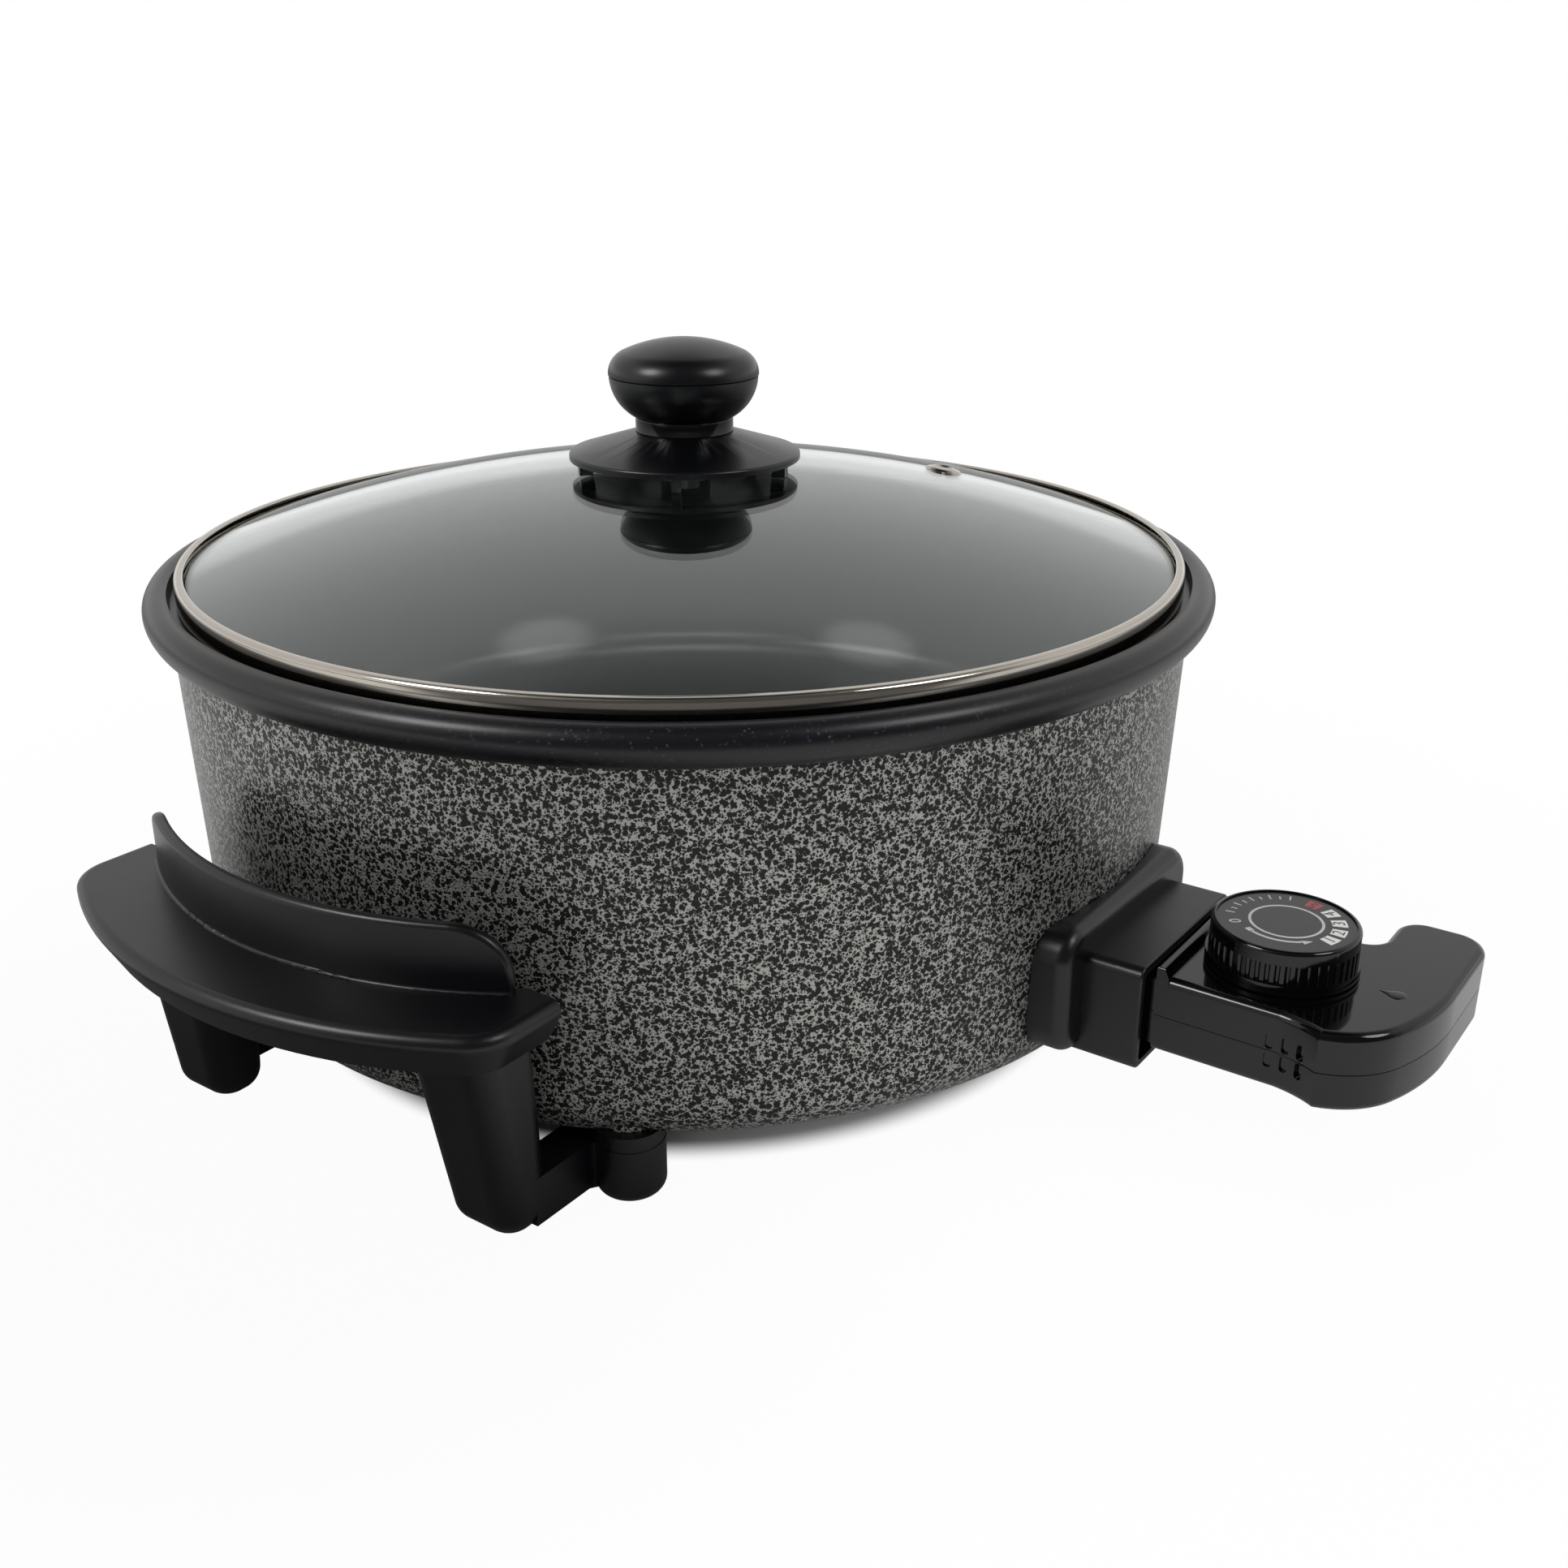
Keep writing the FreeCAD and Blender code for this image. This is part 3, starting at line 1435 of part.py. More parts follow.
def case_shell(document, S, label, levels, cavity_levels, lip=False):
    """One half of the housing: a shell that is open at the parting plane.

    Levels hold the low and high ends of the head and of the nose; the first cavity matches the
    head and the second the nose."""
    body = new_body(document, label)
    parting = S.element_height
    outer_face = next(end for end in levels[0] if number(end) != number(parting))
    pad(body, "Head", "XY_Plane", [head_outline(S)], *levels[0])
    pad(body, "Nose", "XY_Plane", [nose_outline(S)], *levels[1])
    round_edges(
        body,
        "OuterRound",
        S.case_round,
        lambda edge: lies_at(edge, "Z", outer_face) and not lies_at(edge, "X", S.case_start),
    )
    if lip:
        housing_lip(body, S)
    pocket(body, "HeadRoom", "XY_Plane", [head_outline(S, S.case_wall)], *cavity_levels[0])
    pocket(body, "NoseRoom", "XY_Plane", [nose_outline(S, S.case_wall)], *cavity_levels[1])
    front = lead_circles(S, S.sleeve_radius + S.hole_play)
    front.append(Circle(0, parting, S.probe_radius + S.hole_play))
    pocket(body, "NoseHoles", "YZ_Plane", front, S.tongue_start - S.seat_gap, S.nose_start)
    inlet = Circle(S.inlet_place, parting, S.inlet_radius + S.hole_play)
    inlet_end = S.case_wall * 2 - S.head_far_side
    pocket(body, "InletHole", "XZ_Plane", [inlet], -S.head_far_side - S.seat_gap, inlet_end)
    return body


def case_lower(document, S):
    parting = S.element_height
    levels = [(S.case_low, parting), (S.nose_low, parting)]
    rooms = [
        (S.case_low + S.case_wall, parting + S.seat_gap),
        (S.nose_low + S.case_wall, parting + S.seat_gap),
    ]
    body = case_shell(document, S, "case_lower", levels, rooms)
    side_vents(body, S, parting - S.side_vent_land - S.side_vent_height)
    posts = [Circle(x, y, S.case_post_radius) for x, y in case_post_places(S)]
    pad(body, "Posts", "XY_Plane", posts, S.case_low + S.case_wall / 2, S.element_height)
    seats = [Circle(x, y, S.case_screw_head + S.screw_passage) for x, y in case_post_places(S)]
    seat_top = S.case_low + S.case_screw_seat
    pocket(body, "ScrewSeats", "XY_Plane", seats, S.case_low - S.seat_gap, seat_top)
    holes = [Circle(x, y, S.case_screw_radius + S.screw_passage) for x, y in case_post_places(S)]
    pocket(body, "ScrewHoles", "XY_Plane", holes, S.case_low, S.element_height + S.seat_gap)
    anvil = Circle(blade_post_place(S), 0, S.blade_post_radius)
    pad(body, "BladePost", "XY_Plane", [anvil], S.case_low + S.case_wall / 2, blade_low(S))
    slot_half = S.earth_half_width + S.earth_slot_play
    slot = rectangle(-slot_half, slot_half, S.nose_low + S.case_wall, earth_leaf_low(S) + S.earth_leaf * 2)
    pocket(body, "EarthSlot", "YZ_Plane", [slot], S.tongue_start - S.seat_gap, S.nose_start)
    return body


def case_upper(document, S):
    parting = S.element_height
    levels = [(parting, S.case_high), (parting, S.nose_high)]
    rooms = [
        (parting - S.seat_gap, S.case_high - S.case_wall),
        (parting - S.seat_gap, S.nose_high - S.case_wall),
    ]
    body = case_shell(document, S, "case_upper", levels, rooms, lip=True)
    side_vents(body, S, parting + S.side_vent_land)
    posts = [Circle(x, y, S.case_post_radius) for x, y in case_post_places(S)]
    pad(body, "Posts", "XY_Plane", posts, S.element_height, S.case_high - S.case_wall / 2)
    holes = [Circle(x, y, S.case_screw_radius + S.screw_play) for x, y in case_post_places(S)]
    bite = S.element_height + S.case_screw_bite + S.screw_passage
    pocket(body, "ScrewThreads", "XY_Plane", holes, S.element_height - S.seat_gap, bite)
    hub = Circle(S.dial_place, 0, S.dial_hub_radius + S.dial_hub_play)
    pocket(body, "HubHole", "XY_Plane", [hub], S.element_height, S.case_high + S.seat_gap)
    return body


def case_screws(document, S):
    body = new_body(document, "case_screws", separate_solids=True)
    seat = S.case_low + S.case_screw_seat
    headed_pegs(
        body,
        "XY_Plane",
        case_post_places(S),
        S.case_screw_radius,
        S.case_screw_head,
        seat - S.case_screw_head_depth,
        seat,
        S.element_height + S.case_screw_bite,
    )
    return body


def blade_low(S):
    """Underside of the moving strip: two contacts and the open gap above the fixed strip."""
    return S.element_height - S.sleeve_radius + S.contact_height * 2 + S.contact_gap


def blade_post_place(S):
    return S.blade_end - S.blade_post_radius


def earth_leaf_low(S):
    return S.nose_low + S.case_wall + S.hole_play


def probe_tube(document, S):
    """Steel sheath of the sensing probe, closed at its tip."""
    body = new_body(document, "probe_tube")
    axis = S.element_height
    pad(body, "Sheath", "YZ_Plane", [Circle(0, axis, S.probe_radius)], S.probe_start, S.probe_end)
    round_edges(body, "Tip", S.probe_tip_round, lambda edge: lies_at(edge, "X", S.probe_start))
    bore_start = S.probe_start + S.probe_tip_wall
    pocket(body, "Bore", "YZ_Plane", [Circle(0, axis, S.probe_bore)], bore_start, S.probe_end + S.seat_gap)
    return body


def probe_rod(document, S):
    body = new_body(document, "probe_rod")
    start = S.probe_start + S.probe_tip_wall
    pad(body, "Rod", "YZ_Plane", [Circle(0, S.element_height, S.rod_radius)], start, S.rod_end)
    return body


def contact_sleeves(document, S):
    body = new_body(document, "contact_sleeves", separate_solids=True)
    sleeves = lead_circles(S, S.sleeve_radius, S.sleeve_bore)
    pad(body, "Sleeves", "YZ_Plane", sleeves, S.sleeve_start, S.sleeve_end)
    return body


def contact_block(document, S):
    """Ceramic block that carries the sleeves and lets the probe pass."""
    body = new_body(document, "contact_block")
    outline = rounded_rectangle(
        -S.block_half_width, S.block_half_width, S.block_low, S.block_high, S.nose_round
    )
    holes = lead_circles(S, S.sleeve_radius + S.insulator_play)
    holes.append(Circle(0, S.element_height, S.probe_radius + S.hole_play))
    pad(body, "Block", "YZ_Plane", [outline] + holes, S.block_start, S.block_end)
    return body


def bridge_frame(document, S):
    """Steel bridge: the wall that holds the probe, the plate with the nut and two legs."""
    body = new_body(document, "bridge_frame")
    half = S.bridge_half_width
    foot = S.case_low + S.case_wall + S.hole_play
    plate = rectangle(S.bridge_start, S.bridge_end, -half, half)
    pad(body, "Plate", "XY_Plane", [plate], S.bridge_top - S.bridge_sheet, S.bridge_top)
    wall = rectangle(S.bridge_start, S.bridge_start + S.bridge_sheet, -half, half)
    pad(body, "Wall", "XY_Plane", [wall], foot, S.bridge_top)
    legs_pair = [
        rectangle(S.bridge_leg_start, S.bridge_leg_end, -half, S.bridge_sheet - half),
        rectangle(S.bridge_leg_start, S.bridge_leg_end, half - S.bridge_sheet, half),
    ]
    pad(body, "Legs", "XY_Plane", legs_pair, foot, S.bridge_top)
    nut = Circle(S.dial_place, 0, S.nut_radius)
    pad(body, "Nut", "XY_Plane", [nut], S.bridge_top - S.bridge_sheet - S.nut_depth, S.bridge_top)
    bore = Circle(S.dial_place, 0, S.screw_radius + S.screw_running_play)
    low = S.bridge_top - S.bridge_sheet - S.nut_depth - S.seat_gap
    pocket(body, "NutBore", "XY_Plane", [bore], low, S.bridge_top + S.seat_gap)
    probe = Circle(0, S.element_height, S.probe_radius + S.screw_running_play)
    end = S.bridge_start + S.bridge_sheet + S.seat_gap
    pocket(body, "ProbeSeat", "YZ_Plane", [probe], S.bridge_start - S.seat_gap, end)
    return body


def fixed_contact(document, S):
    """Strip from one sleeve to under the moving contact, with its silver button."""
    body = new_body(document, "fixed_contact")
    top = S.element_height - S.sleeve_radius
    half = S.strip_width / 2
    outline = [
        (S.block_end, S.lead_offset - half),
        (S.contact_place - half, S.lead_offset - half),
        (S.contact_place - half, -half),
        (S.contact_place + half, -half),
        (S.contact_place + half, S.lead_offset + half),
        (S.block_end, S.lead_offset + half),
    ]
    pad(body, "Strip", "XY_Plane", [outline], top - S.strip_thickness, top)
    button = Circle(S.contact_place, 0, S.contact_radius)
    pad(body, "Button", "XY_Plane", [button], top, top + S.contact_height)
    return body


def moving_contact(document, S):
    """Spring blade on its post, with the button that meets the fixed one."""
    body = new_body(document, "moving_contact")
    half = S.strip_width / 2
    low = blade_low(S)
    blade = rectangle(S.contact_place - half, S.blade_end, -half, half)
    pad(body, "Blade", "XY_Plane", [blade], low, low + S.blade_thickness)
    button = Circle(S.contact_place, 0, S.contact_radius)
    pad(body, "Button", "XY_Plane", [button], low - S.contact_height, low)
    return body


def earth_spring(document, S):
    """Leaf along the nose's floor whose turned-down end meets the earthed plate."""
    body = new_body(document, "earth_spring")
    half = S.earth_half_width
    low = earth_leaf_low(S)
    start = S.socket_back + S.plate_thickness + S.seat_gap
    leaf = rectangle(start, S.block_end, -half, half)
    pad(body, "Leaf", "XY_Plane", [leaf], low, low + S.earth_leaf)
    tab = rectangle(start, start + S.earth_leaf, -half, half)
    pad(body, "Tab", "XY_Plane", [tab], S.earth_low, low + S.earth_leaf)
    return body


def cord_bush(document, S):
    """Inlet bush in the end of the head, with the flange that keeps it in."""
    body = new_body(document, "cord_bush")
    axis = S.element_height
    bore = Circle(S.inlet_place, axis, S.inlet_bore)
    outer = -S.head_far_side - S.inlet_proud
    barrel = [Circle(S.inlet_place, axis, S.inlet_radius), bore]
    pad(body, "Barrel", "XZ_Plane", barrel, outer, outer + S.inlet_depth)
    inside = S.case_wall + S.inlet_flange_gap - S.head_far_side
    flange = [Circle(S.inlet_place, axis, S.inlet_radius + S.inlet_flange), bore]
    pad(body, "Flange", "XZ_Plane", flange, inside, inside + S.inlet_flange)
    return body


def put_on_dial_axis(body, S):
    body.Placement = FreeCAD.Placement(V(number(S.dial_place), 0, 0), FreeCAD.Rotation())


def hexagon(flat):
    """Six corners about the origin, with the distance from the middle to each side given."""
    corner = flat / cosine(30)
    return [(corner * cosine(60 * step), corner * sine(60 * step)) for step in range(6)]


def dial_hub_low(S):
    return S.case_high - S.dial_hub_drop


def disc_seat(S):
    return S.dial_top - S.dial_disc_drop - S.dial_disc_thickness


def dial(document, S):
    """Hollow knob with a ringed foot, fine grip grooves, a recess for the disc and a splined hub."""
    body = new_body(document, "dial")
    low = S.case_high + S.dial_lift
    top = S.dial_top
    seat = disc_seat(S)
    ceiling = seat - S.dial_wall
    foot_top = low + S.dial_foot_height
    waist = S.dial_foot_radius - S.dial_foot_notch
    disc_room = S.dial_disc_radius + S.hole_play
    section = [
        (0, dial_hub_low(S)),
        (S.dial_hub_radius, dial_hub_low(S)),
        (S.dial_hub_radius, ceiling),
        (S.dial_radius - S.dial_wall, ceiling),
        (S.dial_radius - S.dial_wall, low),
        (S.dial_foot_radius, low),
        (S.dial_foot_radius, low + S.dial_foot_ring),
        (waist, low + S.dial_foot_ring),
        (waist, foot_top - S.dial_foot_ring),
        (S.dial_foot_radius, foot_top - S.dial_foot_ring),
        (S.dial_foot_radius, foot_top),
        (S.dial_radius, foot_top),
        (S.dial_radius, top - S.dial_round),
        (S.dial_radius - S.dial_round, top, S.dial_round),
        (disc_room, top),
        (disc_room, seat),
        (0, seat),
    ]
    revolve(body, "Knob", [section])
    groove = Circle(S.dial_radius + S.dial_groove_offset, 0, S.dial_groove_radius)
    cut = pocket(body, "Groove", "XY_Plane", [groove], foot_top, foot_top + S.dial_groove_height)
    polar(body, "Grooves", cut, S.dial_groove_count)
    socket = hexagon(S.spline_flat + S.spline_play)
    socket_top = S.spline_top + S.spline_travel
    pocket(body, "Spline", "XY_Plane", [socket], dial_hub_low(S) - S.seat_gap, socket_top)
    put_on_dial_axis(body, S)
    return body


def dial_face(document, S):
    body = new_body(document, "dial_face")
    disc = Circle(0, 0, S.dial_disc_radius)
    pad(body, "Disc", "XY_Plane", [disc], disc_seat(S), disc_seat(S) + S.dial_disc_thickness)
    put_on_dial_axis(body, S)
    return body


def adjusting_screw(document, S):
    """Screw that the dial turns through its spline and that works in the bridge's nut."""
    body = new_body(document, "adjusting_screw")
    tip = blade_low(S) + S.blade_thickness + S.screw_gap
    spline_low = dial_hub_low(S) + S.spline_travel
    pad(body, "Thread", "XY_Plane", [Circle(0, 0, S.screw_radius)], tip, spline_low)
    pad(body, "Spline", "XY_Plane", [hexagon(S.spline_flat)], spline_low, S.spline_top)
    put_on_dial_axis(body, S)
    return body


def build_parts(document, S):
    """Every sub-part, in the order in which the skillet goes together."""
    makers = [
        pan_body, pan_floor, heat_plate, heating_element, terminal_pins, pin_insulators, terminal_plate,
        socket_shroud, shroud_screws, base_cover, cover_screws, lid_ring, lid_glass, vent_eyelet,
        knob_skirt, knob_collar, knob_grip, knob_gasket, knob_washer, knob_screw, case_lower,
        case_upper, case_screws, probe_tube, probe_rod, contact_sleeves, contact_block, bridge_frame,
        fixed_contact, moving_contact, earth_spring, cord_bush, dial, dial_face, adjusting_screw,
    ]
    parts = [maker(document, S) for maker in makers]
    for name, azimuth in (("front", -90), ("rear", 90)):
        parts.append(side_handle(document, S, name + "_handle", azimuth))
        parts.append(handle_screws(document, S, name + "_handle_screws", azimuth))
    return parts


def check(document, parts):
    """Stops if any feature failed or any sub-part has no sound solid."""
    for item in document.Objects:
        if "Invalid" in item.State or "Error" in item.State:
            raise RuntimeError("%s failed" % item.FullName)
    for part in parts:
        if part.Shape.isNull() or not part.Shape.isValid() or not part.Shape.Solids:
            raise RuntimeError("%s has no sound solid" % part.Label)


def main():
    document = FreeCAD.newDocument("skillet")
    sizes = make_sheet(document)
    parts = build_parts(document, sizes)
    document.recompute()
    check(document, parts)
    os.makedirs("parts", exist_ok=True)
    for part in parts:
        part.Shape.exportStep("parts/%s.step" % part.Label)
        box = part.Shape.BoundBox
        print("%-20s %2d solid(s) %10.1f mm3" % (part.Label, len(part.Shape.Solids), part.Shape.Volume),
              "x %.1f..%.1f y %.1f..%.1f z %.1f..%.1f" % (
                  box.XMin, box.XMax, box.YMin, box.YMax, box.ZMin, box.ZMax))


main()
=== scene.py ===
import json
import math

import bmesh
import bpy
from mathutils import Matrix, Vector


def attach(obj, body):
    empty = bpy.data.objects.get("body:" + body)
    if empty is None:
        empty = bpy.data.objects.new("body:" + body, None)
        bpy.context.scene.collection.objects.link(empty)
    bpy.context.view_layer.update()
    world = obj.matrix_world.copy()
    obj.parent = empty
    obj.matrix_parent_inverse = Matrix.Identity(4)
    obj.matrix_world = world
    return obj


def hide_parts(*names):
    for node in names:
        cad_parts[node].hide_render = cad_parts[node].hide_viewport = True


bl_info = {
    "name": "Electric Skillet",
    "version": (1, 0, 0),
    "blender": (4, 5, 0),
    "location": "3D View > Sidebar > Skillet",
    "description": "Dresses the packed electric skillet and sets up its studio",
    "category": "Object",
}

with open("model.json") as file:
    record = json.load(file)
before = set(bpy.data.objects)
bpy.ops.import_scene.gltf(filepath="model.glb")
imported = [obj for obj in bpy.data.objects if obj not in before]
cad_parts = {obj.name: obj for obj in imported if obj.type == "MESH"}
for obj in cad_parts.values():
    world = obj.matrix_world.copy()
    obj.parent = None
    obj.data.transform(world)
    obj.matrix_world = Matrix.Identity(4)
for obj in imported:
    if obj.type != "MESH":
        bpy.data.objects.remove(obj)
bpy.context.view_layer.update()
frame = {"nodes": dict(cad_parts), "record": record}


# ------------ settings


def length(label, description, default):
    return bpy.props.FloatProperty(
        name=label, description=description, default=default, min=0, unit="LENGTH"
    )


def turn(label, description, default):
    return bpy.props.FloatProperty(
        name=label, description=description, default=math.radians(default), unit="ROTATION"
    )


def count(label, description, default):
    return bpy.props.IntProperty(name=label, description=description, default=default, min=1)


def share(label, description, default):
    return bpy.props.FloatProperty(
        name=label, description=description, default=default, min=0, max=1, subtype="FACTOR"
    )


def colour(label, description, default):
    return bpy.props.FloatVectorProperty(
        name=label, description=description, default=default, min=0, max=1, size=3, subtype="COLOR"
    )


def point(label, description, default):
    return bpy.props.FloatVectorProperty(
        name=label, description=description, default=default, size=3, subtype="TRANSLATION"
    )


class PanSettings(bpy.types.PropertyGroup):
    rim_radius: length("Rim radius", "Widest circle of the rim", 0.170)
    rim_height: length("Rim height", "Height of the rim's widest circle", 0.138)
    rim_crown: length("Rim crown", "Radius of the rim's rounded top", 0.005)
    lip_radius: length("Lip radius", "Inner edge of the rim", 0.1626)
    pocket_radius: length("Lid pocket radius", "Wall round the lid's seat", 0.1619)
    ledge_height: length("Ledge height", "Height of the ledge that carries the lid", 0.139)
    ledge_chamfer: length("Ledge chamfer", "Height of the slope under the ledge", 0.001)
    ledge_inset: length("Ledge inset", "Width of the slope under the ledge", 0.0008)
    mouth_radius: length("Mouth radius", "Inside of the pan at the ledge", 0.1575)
    floor_radius: length("Floor radius", "Inside of the pan at the floor", 0.1555)
    floor_height: length("Floor height", "Height of the cooking floor", 0.060)
    floor_round: length("Floor round", "Rounding between floor and wall", 0.011)
    floor_thickness: length("Floor thickness", "Thickness of the floor", 0.005)
    wall_top: length("Wall top radius", "Outside of the wall under the rim", 0.1625)
    wall_foot: length("Wall foot radius", "Outside of the wall above its lower round", 0.1587)
    foot_height: length("Wall foot height", "Height where the lower round starts", 0.0315)
    foot_round: length("Lower round", "Radius of the wall's lower edge", 0.0145)
    skirt_radius: length("Skirt radius", "Inner edge of the wall's foot", 0.150)
    skirt_inside: length("Skirt inside radius", "Inside of the hollow under the floor", 0.154)
    skirt_step: length("Skirt step", "Height of the slope inside the skirt", 0.005)
    boss_radius: length("Boss radius", "Bosses under the base that stand on the feet", 0.0065)
    boss_circle: length("Boss circle", "Distance of the bosses from the pan's axis", 0.150)
    boss_azimuth: turn("Boss azimuth", "Angle of a boss from the handle's axis", 31.4)
    boss_low: length("Boss low", "Height of the bosses' ends", 0.017)
    sleeve_radius: length("Sleeve radius", "Black sleeve between a foot and the base", 0.0098)
    sleeve_low: length("Sleeve low", "Lower end of the sleeves, inside the feet", 0.0155)
    sleeve_high: length("Sleeve high", "Upper end of the sleeves, inside the base", 0.0215)
    enamel_light: colour("Enamel silver", "Raised net of the hammered enamel", (0.45, 0.45, 0.425))
    enamel_dark: colour("Enamel black", "Pools of the hammered enamel", (0.0045, 0.0045, 0.004))
    pool_size: length("Pool size", "Spacing of the enamel's largest black pools", 0.0018)
    coating: colour("Coating", "Non-stick coating of rim and inside", (0.0018, 0.0020, 0.0028))


class LidSettings(bpy.types.PropertyGroup):
    band_radius: length("Band radius", "Outside of the steel band", 0.1601)
    band_low: length("Band low", "Height of the band's lower edge", 0.1393)
    band_height: length("Band height", "Height of the band", 0.0081)
    band_round: length("Band round", "Rounding of the band's edges", 0.0014)
    band_wall: length("Band wall", "Thickness of the band's sheet", 0.001)
    band_cover: length("Band cover", "How far the band's top reaches in over the glass", 0.0024)
    band_foot: length("Band foot", "How far the band's lower edge reaches in", 0.0036)
    apex: length("Apex", "Height of the glass at the axis", 0.171)
    dome_arc: length("Dome arc", "Radius of the glass dome", 0.4992)
    thickness: length("Glass thickness", "Thickness of the glass", 0.004)
    edge_radius: length("Glass edge radius", "Edge of the glass inside the band", 0.1584)
    hole_radius: length("Hole radius", "Hole for the knob's screw", 0.004)
    band: colour("Band colour", "Warm rolled steel", (0.60, 0.555, 0.49))
    tint: colour("Glass tint", "Slight green of the glass", (0.86, 0.93, 0.90))


class KnobSettings(bpy.types.PropertyGroup):
    skirt_trim: share("Skirt trim", "The skirt's width as a share of the CAD's", 0.975)
    collar_low: length("Collar low", "Height of the collar's foot on the skirt", 0.1830)
    collar_top: length("Collar top", "Height of the collar's top", 0.1873)
    collar_radius: length("Collar radius", "Collar between skirt and grip", 0.0156)
    collar_round: length("Collar round", "Rounding of the collar's top edge", 0.0004)
    collar_bore: length("Collar bore", "Hole for the knob's screw", 0.0027)
    grip_neck: length("Grip neck", "Foot of the grip's bowl", 0.0156)
    grip_bore_depth: length("Grip bore depth", "Height of the screw's hole in the grip", 0.0130)
    grip_radius: length("Grip radius", "Widest circle of the grip, at its seam", 0.0239)
    grip_bowl: length("Grip bowl", "Height of the bowl under the seam", 0.0128)
    grip_bowl_arc: length("Grip bowl arc", "Radius of the bowl's section", 0.0150)
    grip_seam: length("Grip seam", "Height of the upright edge over the seam", 0.0006)
    grip_groove: length("Grip groove", "A third of the depth of the seam's groove", 0.0002)
    grip_round: length("Grip round", "Radius of the crown's edge", 0.0075)
    grip_crown: length("Grip crown", "Height of the crown over the seam", 0.0116)
    moulding: colour("Moulding", "Satin black moulding", (0.0008, 0.0009, 0.0014))


class DialSettings(bpy.types.PropertyGroup):
    place: length("Place", "Distance of the dial's axis from the pan's", 0.2113)
    face: length("Face", "Height of the printed disc's top", 0.0690)
    print_depth: length("Print depth", "Thickness of the print", 0.00004)
    ring_radius: length("Ring radius", "Inside of the printed ring", 0.0096)
    ring_width: length("Ring width", "Width of the printed ring", 0.0008)
    tick_inner: length("Tick inner", "Inner end of the fine ticks", 0.0142)
    tick_sweep: turn("Tick sweep", "Angle that a tick takes up", 1.8)
    box_inner: length("Box inner", "Inner end of the numbers' boxes", 0.0124)
    box_outer: length("Box outer", "Outer end of the numbers' boxes", 0.0166)
    box_sweep: turn("Box sweep", "Angle that a number's box takes up", 16)
    number_height: length("Number height", "Height of the numbers", 0.0036)
    tick_count: count("Ticks", "Number of fine ticks", 9)
    print_grey: colour("Print", "Light grey print", (0.42, 0.42, 0.41))
    print_light: colour("Box", "Pale print of the numbers' boxes", (0.62, 0.62, 0.60))
    print_dark: colour("Number", "Dark print of the numbers", (0.02, 0.02, 0.024))
    print_red: colour("Hot mark", "Red print of the highest number", (0.33, 0.03, 0.035))


class HousingSettings(bpy.types.PropertyGroup):
    parting: length("Parting", "Height where the two shells meet", 0.044)
    parting_round: length("Parting round", "Rounding of the shells' meeting edges", 0.0003)
    top: length("Top", "Height of the housing's flat top", 0.056)
    flare: length("Flare", "Radius of the near side's hollow sweep", 0.030)
    flare_place: point("Flare place", "Centre of the sweep", (0.221, -0.058, 0))
    slot_depth: length("Slot depth", "Depth of the shallow slots in the near side", 0.0007)
    slot_low: length("Slot low", "Lower end of the slots' backs", 0.0382)
    slot_high: length("Slot high", "Upper end of the slots' backs", 0.0498)
    slot_start: turn("Slot start", "Where the slots' backs start, about the sweep's centre", 73)
    slot_sweep: turn("Slot sweep", "Angle that the slots' backs take up", 25)
    slot_wall: length("Slot wall", "Thickness of the slots' backs", 0.0004)
    pointer_tip: length("Pointer tip", "Place of the pointer's tip along the housing", 0.2388)
    pointer_end: length("Pointer end", "Place of the pointer's round end", 0.2462)
    pointer_width: length("Pointer width", "Width of the pointer's round end", 0.0050)
    pointer_height: length("Pointer height", "How far the pointer stands up", 0.0004)


class StageSettings(bpy.types.PropertyGroup):
    camera_place: point("Camera place", "Where the camera stands", (0.34260, -0.43070, 0.28330))
    camera_turn: bpy.props.FloatVectorProperty(
        name="Camera turn",
        description="How the camera is turned",
        default=tuple(math.radians(angle) for angle in (67.923, -0.208, 35.223)),
        size=3,
        subtype="EULER",
    )
    lens: bpy.props.FloatProperty(
        name="Lens", description="Focal length", default=39.2, unit="CAMERA"
    )
    horizon: share("Horizon", "Lightness of the studio near the floor", 1.0)
    backdrop: share("Backdrop", "Lightness of the studio behind the object", 0.75)
    overhead: share("Overhead", "Lightness of the studio high up behind", 0.28)
    zenith: share("Zenith", "Lightness of the studio's ceiling", 0.04)
    front: share("Dark side", "Lightness of the dark side as a share", 0.12)
    front_azimuth: turn("Front azimuth", "Direction of the studio's dark side", -40)
    spot: share("Ceiling lights", "What the two round ceiling lights add", 0.45)
    floor: colour("Floor", "Pale floor", (0.70, 0.70, 0.70))
    # Painted shade in the floor's colour: how light its painted shaded parts are, and the middle of
    # that painted shade
    floor_dark: share("Floor dark", "Lightness of the floor's shaded parts", 0.15)
    shade_place: point("Shade place", "Middle of the floor's shade", (-0.03, -0.20, 0))
    floor_glow: share("Floor glow", "How white the floor near the object is", 0.965)


# ------------ finishes

# Layers of the enamel's black pools: spacing as a share of the largest, and the pools' edge
POOL_LAYERS = ((1.0, 0.46), (0.57, 0.43), (0.34, 0.38))
POOL_EDGE = 0.06

# The fittings' metals: colour, roughness and the scale of their wear
METALS = {
    "cast_aluminium": ((0.55, 0.55, 0.54), 0.50, 500),
    "sheath_steel": ((0.22, 0.20, 0.18), 0.45, 300),
    "plated_pin": ((0.72, 0.71, 0.68), 0.18, 400),
    "plate_steel": ((0.52, 0.53, 0.54), 0.32, 250),
    "brass": ((0.70, 0.52, 0.24), 0.28, 350),
}

# Colours of the dial's print, by the names of its settings
PRINTS = ("print_grey", "print_light", "print_dark", "print_red")


def scaled(shade, factor):
    return tuple(factor * part for part in shade)


